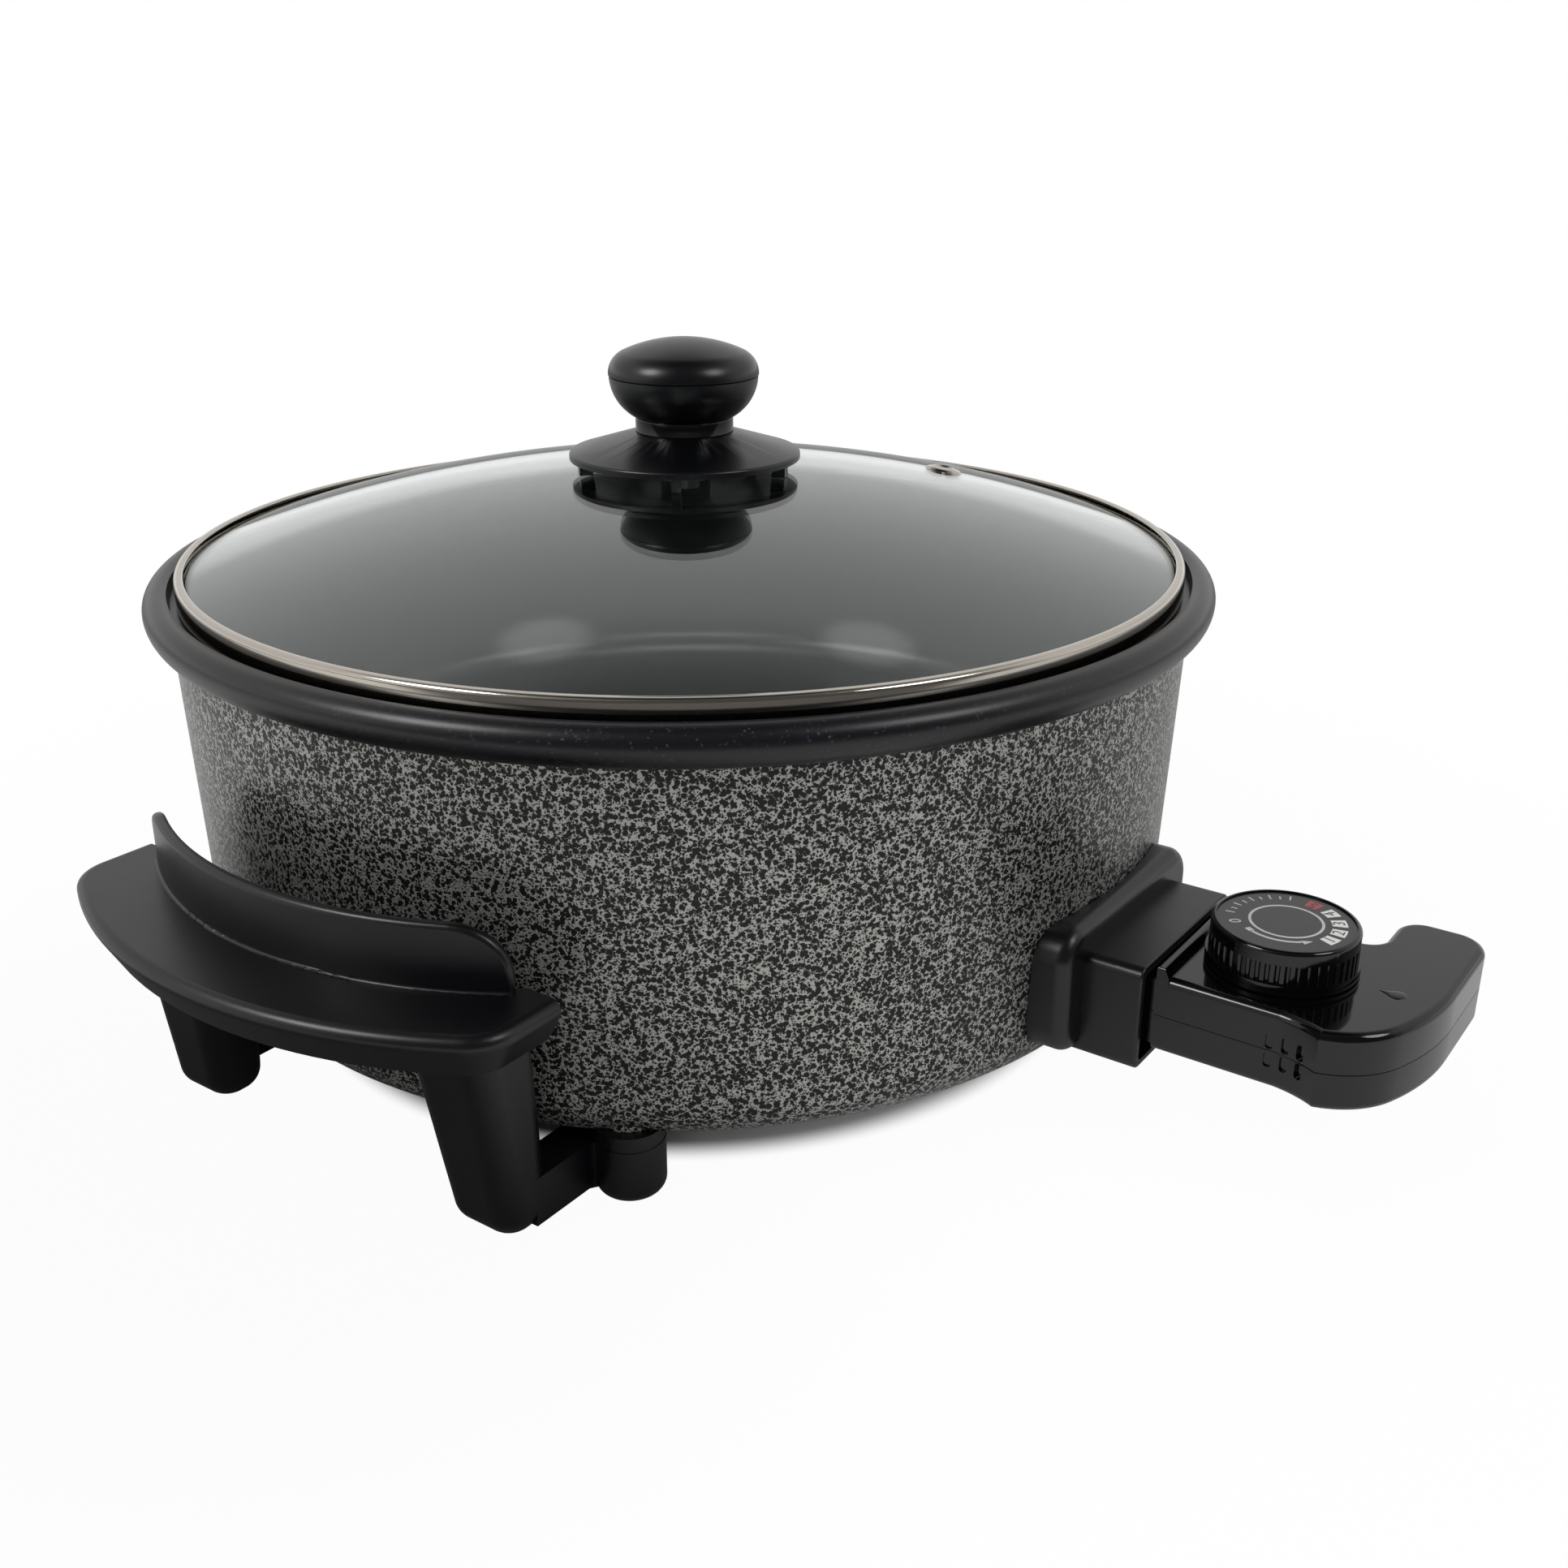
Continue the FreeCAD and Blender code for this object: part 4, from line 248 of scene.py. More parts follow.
class Value:
    """A shader socket that works in sums. Each sum adds its Math node."""

    def __init__(self, finish, socket):
        self.finish = finish
        self.socket = socket

    def combine(self, operation, first, second):
        return self.finish.node("Math", {"operation": operation}, {0: first, 1: second})

    def __add__(self, other):
        return self.combine("ADD", self, other)

    def __radd__(self, other):
        return self.combine("ADD", other, self)

    def __sub__(self, other):
        return self.combine("SUBTRACT", self, other)

    def __rsub__(self, other):
        return self.combine("SUBTRACT", other, self)

    def __mul__(self, other):
        return self.combine("MULTIPLY", self, other)

    def __rmul__(self, other):
        return self.combine("MULTIPLY", other, self)

    def below(self, other):
        return self.combine("MINIMUM", self, other)


class Finish:
    """A material that is built from nodes on the piece's own coordinates."""

    def __init__(self, name, world=None):
        self.material = world or bpy.data.materials.new(name)
        self.material.use_nodes = True
        self.tree = self.material.node_tree
        self.tree.nodes.clear()

    def node(self, kind, settings=None, sockets=None, output=0):
        """Adds a node, makes its settings first, then feeds its sockets; returns one output."""
        made = self.tree.nodes.new("ShaderNode" + kind)
        for name, setting in (settings or {}).items():
            setattr(made, name, setting)
        for name, value in (sockets or {}).items():
            if isinstance(value, Value):
                self.tree.links.new(value.socket, made.inputs[name])
            else:
                made.inputs[name].default_value = value
        return Value(self, made.outputs[output]) if len(made.outputs) else None

    def place(self):
        return self.node("TexCoord", output="Object")

    def noise(self, scale, detail=2.0, at=None, output=0):
        sockets = {"Vector": at or self.place(), "Scale": scale, "Detail": detail}
        return self.node("TexNoise", None, sockets, output)

    def cells(self, scale, at=None, output="Distance"):
        return self.node("TexVoronoi", None, {"Vector": at or self.place(), "Scale": scale}, output)

    def nudged(self, at, scale, amount):
        """The place moved a little by a noise, so that an edge drawn from it wanders."""
        wander = self.noise(scale, at=at, output="Color")
        centred = self.vector("SUBTRACT", wander, (0.5, 0.5, 0.5))
        return self.vector("ADD", at, self.vector("MULTIPLY", centred, (amount,) * 3))

    def vector(self, operation, first, second, output=0):
        return self.node("VectorMath", {"operation": operation}, {0: first, 1: second}, output)

    def measure(self, operation, first, second=(0, 0, 0)):
        """A length, a distance or a dot product."""
        return self.vector(operation, first, second, "Value")

    def step(self, value, low, high):
        """0 below low, 1 above high and smooth in between."""
        sockets = {"Value": value, "From Min": low, "From Max": high}
        return self.node("MapRange", {"interpolation_type": "SMOOTHSTEP"}, sockets)

    def mixed(self, factor, first, second):
        sockets = {"Factor": factor, 6: self.tone(first), 7: self.tone(second)}
        return self.node("Mix", {"data_type": "RGBA"}, sockets, output=2)

    @staticmethod
    def tone(shade):
        """A colour as a socket takes it, with its fourth part."""
        return shade if isinstance(shade, Value) else (*shade, 1.0)

    def bump(self, height, distance, strength):
        sockets = {"Height": height, "Distance": distance, "Strength": strength}
        return self.node("Bump", None, sockets)

    def surface(self, shade, **sockets):
        """Ends the material with one Principled shader."""
        named = {name.replace("_", " "): value for name, value in sockets.items()}
        shader = self.node("BsdfPrincipled", None, {"Base Color": self.tone(shade), **named})
        self.node("OutputMaterial", None, {"Surface": shader})
        return self.material


def hammered_enamel(settings):
    """Black pools of three sizes in a raised silver net."""
    finish = Finish("hammered_enamel")
    loose = finish.nudged(finish.place(), scale=900, amount=0.0008)
    net = None
    for fraction, edge in POOL_LAYERS:
        distance = finish.cells(1 / (settings.pool_size * fraction), loose)
        layer = finish.step(distance, edge - POOL_EDGE, edge + POOL_EDGE)
        net = layer if net is None else net.below(layer)
    patch = finish.noise(90)
    grain = finish.noise(2600, detail=1.0)
    silver = finish.mixed(grain, scaled(settings.enamel_light, 0.7), settings.enamel_light)
    shade = finish.mixed(net, settings.enamel_dark, silver)
    return finish.surface(
        shade,
        Metallic=net * 0.8,
        Specular_IOR_Level=0.25,
        Roughness=0.24 + net * 0.08 + patch * 0.06,
        Normal=finish.bump(net * 0.7 + patch * 0.3, distance=0.00012, strength=0.7),
    )


def non_stick(settings):
    """Charcoal coating with a fine metallic fleck."""
    finish = Finish("non_stick")
    fleck = finish.step(finish.cells(1900, output="Color"), 0.82, 0.97)
    orange_peel = finish.noise(900)
    return finish.surface(
        finish.mixed(fleck, settings.coating, scaled(settings.coating, 22)),
        Roughness=0.34 + fleck * 0.1,
        Metallic=fleck * 0.5,
        Normal=finish.bump(orange_peel, distance=0.00004, strength=0.5),
    )


def moulding(name, shade, roughness, relief):
    """Phenolic moulding with a fine spark-eroded grain and faint clouds of gloss."""
    finish = Finish(name)
    grain = finish.noise(2600, detail=3.0)
    cloud = finish.noise(45)
    return finish.surface(
        finish.mixed(cloud, shade, scaled(shade, 1.6)),
        Roughness=roughness + cloud * 0.10,
        Normal=finish.bump(grain, distance=relief, strength=0.5),
    )


def gloss_moulding(name, shade):
    """Polished moulding whose surface flows a little."""
    finish = Finish(name)
    flow = finish.noise(30)
    smear = finish.noise(160, detail=4.0)
    return finish.surface(
        finish.mixed(smear, shade, scaled(shade, 1.3)),
        Roughness=0.05 + flow * 0.04 + smear * 0.04,
        Normal=finish.bump(flow, distance=0.0001, strength=0.12),
    )


def rolled_steel(settings):
    """Bright warm steel with the fine lines of its rolling round the band."""
    finish = Finish("rolled_steel")
    drawn = finish.vector("MULTIPLY", finish.place(), (1, 1, 14))
    lines = finish.noise(260, detail=3.0, at=drawn)
    return finish.surface(
        finish.mixed(lines, scaled(settings.band, 0.85), settings.band),
        Metallic=1.0,
        Roughness=0.08 + lines * 0.07,
    )


def clear_glass(settings):
    """Slightly green glass whose surface ripples faintly."""
    finish = Finish("clear_glass")
    ripple = finish.noise(18, detail=1.0)
    return finish.surface(
        settings.tint,
        Roughness=0.0,
        IOR=1.5,
        Transmission_Weight=1.0,
        Normal=finish.bump(ripple, distance=0.0001, strength=0.05),
    )


def plain_metal(name, shade, roughness, scale):
    """Metal of a fitting, duller in worn patches of the given scale."""
    finish = Finish(name)
    wear = finish.noise(scale, detail=4.0)
    return finish.surface(
        finish.mixed(wear, scaled(shade, 0.7), shade),
        Metallic=1.0,
        Roughness=roughness + wear * 0.15,
        Normal=finish.bump(wear, distance=0.00005, strength=0.3),
    )


def ceramic():
    finish = Finish("ceramic")
    grain = finish.noise(1200, detail=3.0)
    return finish.surface(
        finish.mixed(grain, (0.62, 0.59, 0.52), (0.75, 0.72, 0.66)),
        Roughness=0.7 + grain * 0.1,
        Normal=finish.bump(grain, distance=0.00008, strength=0.4),
    )


def silicone():
    finish = Finish("silicone")
    dust = finish.noise(500, detail=3.0)
    return finish.surface(
        finish.mixed(dust, (0.03, 0.03, 0.03), (0.06, 0.06, 0.06)),
        Roughness=0.65 + dust * 0.1,
    )


def printed(name, shade):
    """Pad print, a little uneven."""
    finish = Finish(name)
    grain = finish.noise(3000)
    return finish.surface(
        finish.mixed(grain, scaled(shade, 0.85), shade),
        Roughness=0.28 + grain * 0.1,
    )


def make_finishes(settings):
    """Every finish, by the name of the record's slot or by its own."""
    knob = settings.skillet_knob
    dial = settings.skillet_dial
    return {
        "hammertone": hammered_enamel(settings.skillet_pan),
        "moulded_black": moulding("satin_moulding", knob.moulding, roughness=0.28, relief=0.00003),
        "gloss_black": gloss_moulding("gloss_moulding", (0.0010, 0.0010, 0.0012)),
        "dial_print": moulding("dial_disc", (0.005, 0.005, 0.0055), roughness=0.16, relief=0.00001),
        "lid_steel": rolled_steel(settings.skillet_lid),
        "lid_glass": clear_glass(settings.skillet_lid),
        "ceramic": ceramic(),
        "silicone": silicone(),
        "non_stick": non_stick(settings.skillet_pan),
        "knob_moulding": moulding("knob_moulding", knob.moulding, roughness=0.26, relief=0.00002),
        **{name: plain_metal(name, *recipe) for name, recipe in METALS.items()},
        **{name: printed(name, getattr(dial, name)) for name in PRINTS},
    }


FINISHES = {}


def finish_of(slot):
    """The finish of that name; the first call makes them all."""
    if not FINISHES:
        FINISHES.update(make_finishes(bpy.context.scene))
    return FINISHES[slot]


# ------------ modelling

# Segments of a full turn, the more the wider the piece
RIM_SEGMENTS = 288
DOME_SEGMENTS = 256
GRIP_SEGMENTS = 128
COLLAR_SEGMENTS = 96
POST_SEGMENTS = 48

# Distances in metres at which points are one, and the angle in degrees of a flat edge
SAME_POINT = 1e-6
SAME_CAD_POINT = 2e-6
ON_PARTING = 1e-5
FLAT_EDGE = 0.1


def add_object(name, data):
    made = bpy.data.objects.new(name, data)
    bpy.context.scene.collection.objects.link(made)
    return made


class Outline:
    """A half section that is drawn from point to point and turned about an upright axis."""

    def __init__(self, radius, height):
        self.mesh = bmesh.new()
        self.start = self.mesh.verts.new((radius, 0, height))
        self.tip = self.start

    def line(self, radius, height):
        self.tip = bmesh.ops.extrude_vert_indiv(self.mesh, verts=[self.tip])["verts"][0]
        self.tip.co = (radius, 0, height)
        return self

    def arc(self, radius, height, degrees, steps):
        """Turns the tip about a centre, anticlockwise as the section is seen with +Z up."""
        made = bmesh.ops.spin(
            self.mesh,
            geom=[self.tip],
            cent=(radius, 0, height),
            axis=(0, -1, 0),
            angle=math.radians(degrees),
            steps=steps,
        )
        self.tip = [part for part in made["geom_last"] if isinstance(part, bmesh.types.BMVert)][0]
        return self

    def arc_to(self, radius, height, arc_radius, steps):
        """Turns the tip to a point on an arc; a positive radius has its centre on the left."""
        here = Vector((self.tip.co.x, self.tip.co.z))
        there = Vector((radius, height))
        chord = there - here
        left = Vector((-chord.y, chord.x)).normalized()
        rise = math.sqrt(arc_radius**2 - chord.length_squared / 4)
        centre = (here + there) / 2 + left * math.copysign(rise, arc_radius)
        angle = 2 * math.asin(chord.length / 2 / arc_radius)
        self.arc(centre.x, centre.y, math.degrees(angle), steps)
        self.tip.co = (radius, 0, height)
        return self

    def turned(self, segments, closed=True):
        """The outline's solid of revolution; closed joins its tip to its start first."""
        if closed:
            self.mesh.edges.new((self.tip, self.start))
        bmesh.ops.spin(
            self.mesh,
            geom=self.mesh.verts[:] + self.mesh.edges[:],
            cent=(0, 0, 0),
            axis=(0, 0, 1),
            angle=math.tau,
            steps=segments,
            use_merge=True,
        )
        bmesh.ops.remove_doubles(self.mesh, verts=self.mesh.verts, dist=SAME_POINT)
        bmesh.ops.recalc_face_normals(self.mesh, faces=self.mesh.faces)
        return self.mesh


def add_post(shape, radius, low, high, place, finish=0):
    """Adds an upright round post."""
    post = bmesh.ops.create_cone(
        shape,
        cap_ends=True,
        segments=POST_SEGMENTS,
        radius1=radius,
        radius2=radius,
        depth=high - low,
        matrix=Matrix.Translation((*place, (high + low) / 2)),
    )
    for face in {face for vert in post["verts"] for face in vert.link_faces}:
        face.material_index = finish


def finish_shape(shape, name, body, slot, stands_for=(), sharp=35, finishes=None):
    """Turns a bmesh into a piece that rides on a CAD body, smooth but for its sharp edges."""
    for face in shape.faces:
        face.smooth = True
    for edge in shape.edges:
        edge.smooth = len(edge.link_faces) == 2 and edge.calc_face_angle(0) < math.radians(sharp)
    mesh = bpy.data.meshes.new(name)
    shape.to_mesh(mesh)
    shape.free()
    for finish in finishes or [slot]:
        mesh.materials.append(finish_of(finish))
    piece = add_object(name, mesh)
    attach(piece, body)
    if stands_for:
        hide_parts(*stands_for)
    return piece


def merged_copy(node):
    """A CAD node's shape with its loose triangles joined and its flat faces made whole."""
    shape = bmesh.new()
    shape.from_mesh(frame["nodes"][node].data)
    bmesh.ops.remove_doubles(shape, verts=shape.verts, dist=SAME_CAD_POINT)
    bmesh.ops.dissolve_limit(
        shape,
        angle_limit=math.radians(FLAT_EDGE),
        verts=shape.verts,
        edges=shape.edges,
        delimit=set(),
    )
    return shape


def dress_copy(node, name, body, slot, sharp=38, finish=None, change=None):
    """Stands a smooth copy in for a CAD node; its wide faces keep their own normals."""
    shape = merged_copy(node)
    if change:
        change(shape)
    piece = finish_shape(shape, name, body, slot, [node], sharp, finishes=[finish or slot])
    weights = piece.modifiers.new("Weights", "WEIGHTED_NORMAL")
    weights.mode = "FACE_AREA"
    weights.weight = 100
    weights.keep_sharp = True
    return piece


def paint_node(node, slot):
    """Gives a CAD node that stays as it is its finish."""
    materials = frame["nodes"][node].data.materials
    materials.clear()
    materials.append(finish_of(slot))


# ------------ dial print

# Angles in degrees about the dial's axis from the housing's length; radii in metres
NUMBER_PLACES = (-17, 5.5, 29.5, 54, 79)
NOUGHT = -146
TICKS_START, TICKS_END = 106, 192
TICK_REACHES = (0.0168, 0.0160)
BAR_STEP = 3

# The arrow's bars as inner and outer radius, start and end; its head's tip, size, distance
# behind the tip and stretch
ARROW_BARS = ((0.0117, 0.0134, -127, -117), (0.0122, 0.0131, -118, -52))
ARROW_TIP = (0.0128, -41)
ARROW_HEAD = 0.0016
ARROW_BACK = 0.0012
ARROW_STRETCH = (1.3, 0.8, 1, 1)

# A letter's size as a multiple of its height
LETTER_SIZE = 1.35


def add_bar(shape, inner, outer, start, sweep, low, high):
    """Adds a bar bent round the axis, with a rectangular section."""
    section = (
        Matrix.Rotation(math.radians(start), 4, "Z")
        @ Matrix.Translation(((inner + outer) / 2, 0, (low + high) / 2))
        @ Matrix.Rotation(math.radians(90), 4, "X")
        @ Matrix.Diagonal((outer - inner, high - low, 1, 1))
    )
    grid = bmesh.ops.create_grid(shape, x_segments=1, y_segments=1, size=0.5, matrix=section)
    edges = list({edge for vert in grid["verts"] for edge in vert.link_edges})
    faces = list({face for vert in grid["verts"] for face in vert.link_faces})
    whole = sweep >= 360
    if whole:
        bmesh.ops.delete(shape, geom=faces, context="FACES_ONLY")
        faces = []
    bmesh.ops.spin(
        shape,
        geom=grid["verts"] + edges + faces,
        cent=(0, 0, 0),
        axis=(0, 0, 1),
        angle=math.radians(sweep),
        steps=max(1, round(sweep / BAR_STEP)),
        use_merge=whole,
    )


def add_arrow_head(shape, low, high):
    """Adds a three-sided head that points anticlockwise along the arrow's line."""
    radius, azimuth = ARROW_TIP
    turned = Matrix.Rotation(math.radians(azimuth), 4, "Z")
    middle = turned @ Matrix.Translation((radius, -ARROW_BACK, (low + high) / 2))
    pointed = Matrix.Rotation(math.radians(90), 4, "Z") @ Matrix.Diagonal(ARROW_STRETCH)
    bmesh.ops.create_cone(
        shape,
        cap_ends=True,
        segments=3,
        radius1=ARROW_HEAD,
        radius2=ARROW_HEAD,
        depth=high - low,
        matrix=middle @ pointed @ Matrix.Rotation(math.radians(-90), 4, "Z"),
    )


def add_number(shape, text, azimuth, s, low, high):
    """Adds a number whose top points at the axis."""
    letters = bpy.data.curves.new("number", "FONT")
    letters.body = text
    letters.size = s.number_height * LETTER_SIZE
    letters.align_x = "CENTER"
    letters.align_y = "CENTER"
    letters.extrude = (high - low) / 2
    letters.resolution_u = 4
    holder = add_object("number", letters)
    bpy.context.view_layer.update()
    mesh = bpy.data.meshes.new_from_object(holder)
    middle = (s.box_inner + s.box_outer) / 2
    mesh.transform(
        Matrix.Rotation(math.radians(azimuth), 4, "Z")
        @ Matrix.Translation((middle, 0, (low + high) / 2))
        @ Matrix.Rotation(math.radians(90), 4, "Z")
    )
    shape.from_mesh(mesh)
    bpy.data.objects.remove(holder)
    bpy.data.curves.remove(letters)
    bpy.data.meshes.remove(mesh)


# ------------ pieces


class SKILLET_OT_pan(bpy.types.Operator):
    """Turns the pan: coated inside and rim, enamelled wall and hollow foot"""

    bl_idname = "skillet.pan"
    bl_label = "Pan"

    def execute(self, context):
        s = context.scene.skillet_pan
        crown = s.rim_radius - s.rim_crown
        lip_turn = math.acos((s.lip_radius - crown) / s.rim_crown)
        lip_height = s.rim_height + s.rim_crown * math.sin(lip_turn)
        foot_centre = s.wall_foot - s.foot_round
        foot_turn = math.acos((s.skirt_radius - foot_centre) / s.foot_round)
        outline = Outline(0, s.floor_height)
        outline.line(s.floor_radius - s.floor_round, s.floor_height)
        outline.arc(s.floor_radius - s.floor_round, s.floor_height + s.floor_round, 90, 8)
        outline.line(s.mouth_radius, s.ledge_height - s.ledge_chamfer)
        outline.line(s.mouth_radius + s.ledge_inset, s.ledge_height)
        outline.line(s.pocket_radius, s.ledge_height)
        outline.line(s.lip_radius, lip_height)
        outline.arc(crown, s.rim_height, -math.degrees(lip_turn), 12)
        outline.arc(s.wall_top, s.rim_height, -90, 12)
        rim_foot = outline.tip.co.z
        outline.line(s.wall_foot, s.foot_height)
        outline.arc(foot_centre, s.foot_height, -math.degrees(foot_turn), 10)
        outline.line(s.skirt_radius, s.foot_height)
        outline.line(s.skirt_inside, s.foot_height + s.skirt_step)
        under = s.floor_height - s.floor_thickness
        outline.line(s.skirt_inside, under).line(0, under)
        shape = outline.turned(RIM_SEGMENTS)
        for face in shape.faces:
            middle = face.calc_center_median()
            radius = math.hypot(middle.x, middle.y)
            inside = radius < s.mouth_radius and middle.z > s.floor_height
            outside = radius > s.skirt_radius and middle.z < rim_foot
            face.material_index = int(outside and not inside)
        places = self.boss_places(s)
        for place in places:
            add_post(shape, s.boss_radius, s.boss_low, under, place, finish=1)
        nodes, finishes = ["pan_body", "pan_floor"], ["non_stick", "hammertone"]
        finish_shape(shape, "pan_shell", "pan", "hammertone", nodes, finishes=finishes)
        sleeves = bmesh.new()
        for place in places:
            add_post(sleeves, s.sleeve_radius, s.sleeve_low, s.sleeve_high, place)
        finish_shape(sleeves, "foot_sleeves", "pan", "moulded_black")
        return {"FINISHED"}

    @staticmethod
    def boss_places(s):
        """One boss on either side of each handle's axis."""
        lines = [math.radians(side) + way * s.boss_azimuth for side in (-90, 90) for way in (-1, 1)]
        return [(s.boss_circle * math.cos(line), s.boss_circle * math.sin(line)) for line in lines]


class SKILLET_OT_lid(bpy.types.Operator):
    """Turns the glass dome and the steel band round it, and gives the steam vent its finish"""

    bl_idname = "skillet.lid"
    bl_label = "Lid"

    def execute(self, context):
        s = context.scene.skillet_lid
        self.dome(s)
        self.band(s)
        paint_node("vent_eyelet", "lid_steel")
        return {"FINISHED"}

    @staticmethod
    def dome(s):
        """The glass between two arcs about one centre, from its hole out to its edge."""
        under = s.dome_arc - s.thickness

        def height(arc, radius):
            return s.apex - s.dome_arc + math.sqrt(arc**2 - radius**2)

        dome = Outline(s.hole_radius, height(under, s.hole_radius))
        dome.line(s.hole_radius, height(s.dome_arc, s.hole_radius))
        dome.arc_to(s.edge_radius, height(s.dome_arc, s.edge_radius), -s.dome_arc, 40)
        dome.line(s.edge_radius, height(under, s.edge_radius))
        dome.arc_to(s.hole_radius, height(under, s.hole_radius), under, 40)
        shape = dome.turned(DOME_SEGMENTS, closed=False)
        finish_shape(shape, "glass_dome", "lid", "lid_glass", ["lid_glass"])

    @staticmethod
    def band(s):
        """The steel sheet folded round the glass's edge, outside first and then inside."""
        low, high = s.band_low, s.band_low + s.band_height
        outer, bend, wall = s.band_radius, s.band_round, s.band_wall
        band = Outline(outer - s.band_foot, low)
        band.line(outer - bend, low).arc(outer - bend, low + bend, 90, 6)
        band.line(outer, high - bend).arc(outer - bend, high - bend, 90, 6)
        band.line(outer - s.band_cover, high).arc(outer - s.band_cover, high - wall / 2, 180, 5)
        band.line(outer - bend, high - wall).arc(outer - bend, high - bend, -90, 4)
        band.line(outer - wall, low + bend).arc(outer - bend, low + bend, -90, 4)
        band.line(outer - s.band_foot, low + wall)
        shape = band.turned(RIM_SEGMENTS)
        finish_shape(shape, "steel_band", "lid", "lid_steel", ["lid_ring"], sharp=50)


class SKILLET_OT_knob(bpy.types.Operator):
    """Dresses the knob's skirt and turns its collar and two-part grip"""

    bl_idname = "skillet.knob"
    bl_label = "Knob"

    def execute(self, context):
        s = context.scene.skillet_knob

        def narrow(shape):
            bmesh.ops.scale(shape, vec=(s.skirt_trim, s.skirt_trim, 1), verts=shape.verts)

        look = "knob_moulding"
        dress_copy("knob_skirt", "heat_skirt", "lid", "moulded_black", finish=look, change=narrow)
        collar, grip = self.collar_shape(s), self.grip_shape(s)
        finish_shape(collar, "grip_collar", "lid", "gloss_black", ["knob_collar"])
        finish_shape(grip, "grip_cap", "lid", "moulded_black", ["knob_grip"], 50, [look])
        return {"FINISHED"}

    @staticmethod
    def collar_shape(s):
        edge = s.collar_top - s.collar_round
        collar = Outline(s.collar_bore, s.collar_low)
        collar.line(s.collar_radius, s.collar_low).line(s.collar_radius, edge)
        collar.arc(s.collar_radius - s.collar_round, edge, 90, 4)
        collar.line(s.collar_bore, s.collar_top)
        return collar.turned(COLLAR_SEGMENTS)

    @staticmethod
    def grip_shape(s):
        """A rounded bowl up to the seam, then a crown of two arcs that share a tangent."""
        seam, groove = s.collar_top + s.grip_bowl, s.grip_groove
        edge = seam + s.grip_seam
        rise = s.grip_crown - s.grip_seam
        centre = s.grip_radius - s.grip_round
        crown_arc = (centre**2 + rise**2 - s.grip_round**2) / (2 * (rise - s.grip_round))
        tilt = math.asin(centre / (crown_arc - s.grip_round))
        grip = Outline(0, s.collar_top + s.grip_bore_depth)
        grip.line(s.collar_bore, s.collar_top + s.grip_bore_depth).line(s.collar_bore, s.collar_top)
        grip.line(s.grip_neck, s.collar_top)
        grip.arc_to(s.grip_radius - groove, seam, s.grip_bowl_arc, 16)
        grip.line(s.grip_radius - 3 * groove, seam + groove)
        grip.line(s.grip_radius, seam + 2 * groove).line(s.grip_radius, edge)
        grip.arc(centre, edge, 90 - math.degrees(tilt), 14)
        grip.arc(0, edge + rise - crown_arc, math.degrees(tilt), 14)
        grip.tip.co.x = 0
        return grip.turned(GRIP_SEGMENTS, closed=False)


class SKILLET_OT_handles(bpy.types.Operator):
    """Dresses both side handles and the socket's shroud"""

    bl_idname = "skillet.handles"
    bl_label = "Handles and socket"

    def execute(self, context):
        for side in ("front", "rear"):
            dress_copy(side + "_handle", side + "_grip", "pan", "moulded_black", sharp=55)
        dress_copy("socket_shroud", "socket_box", "pan", "moulded_black")
        return {"FINISHED"}


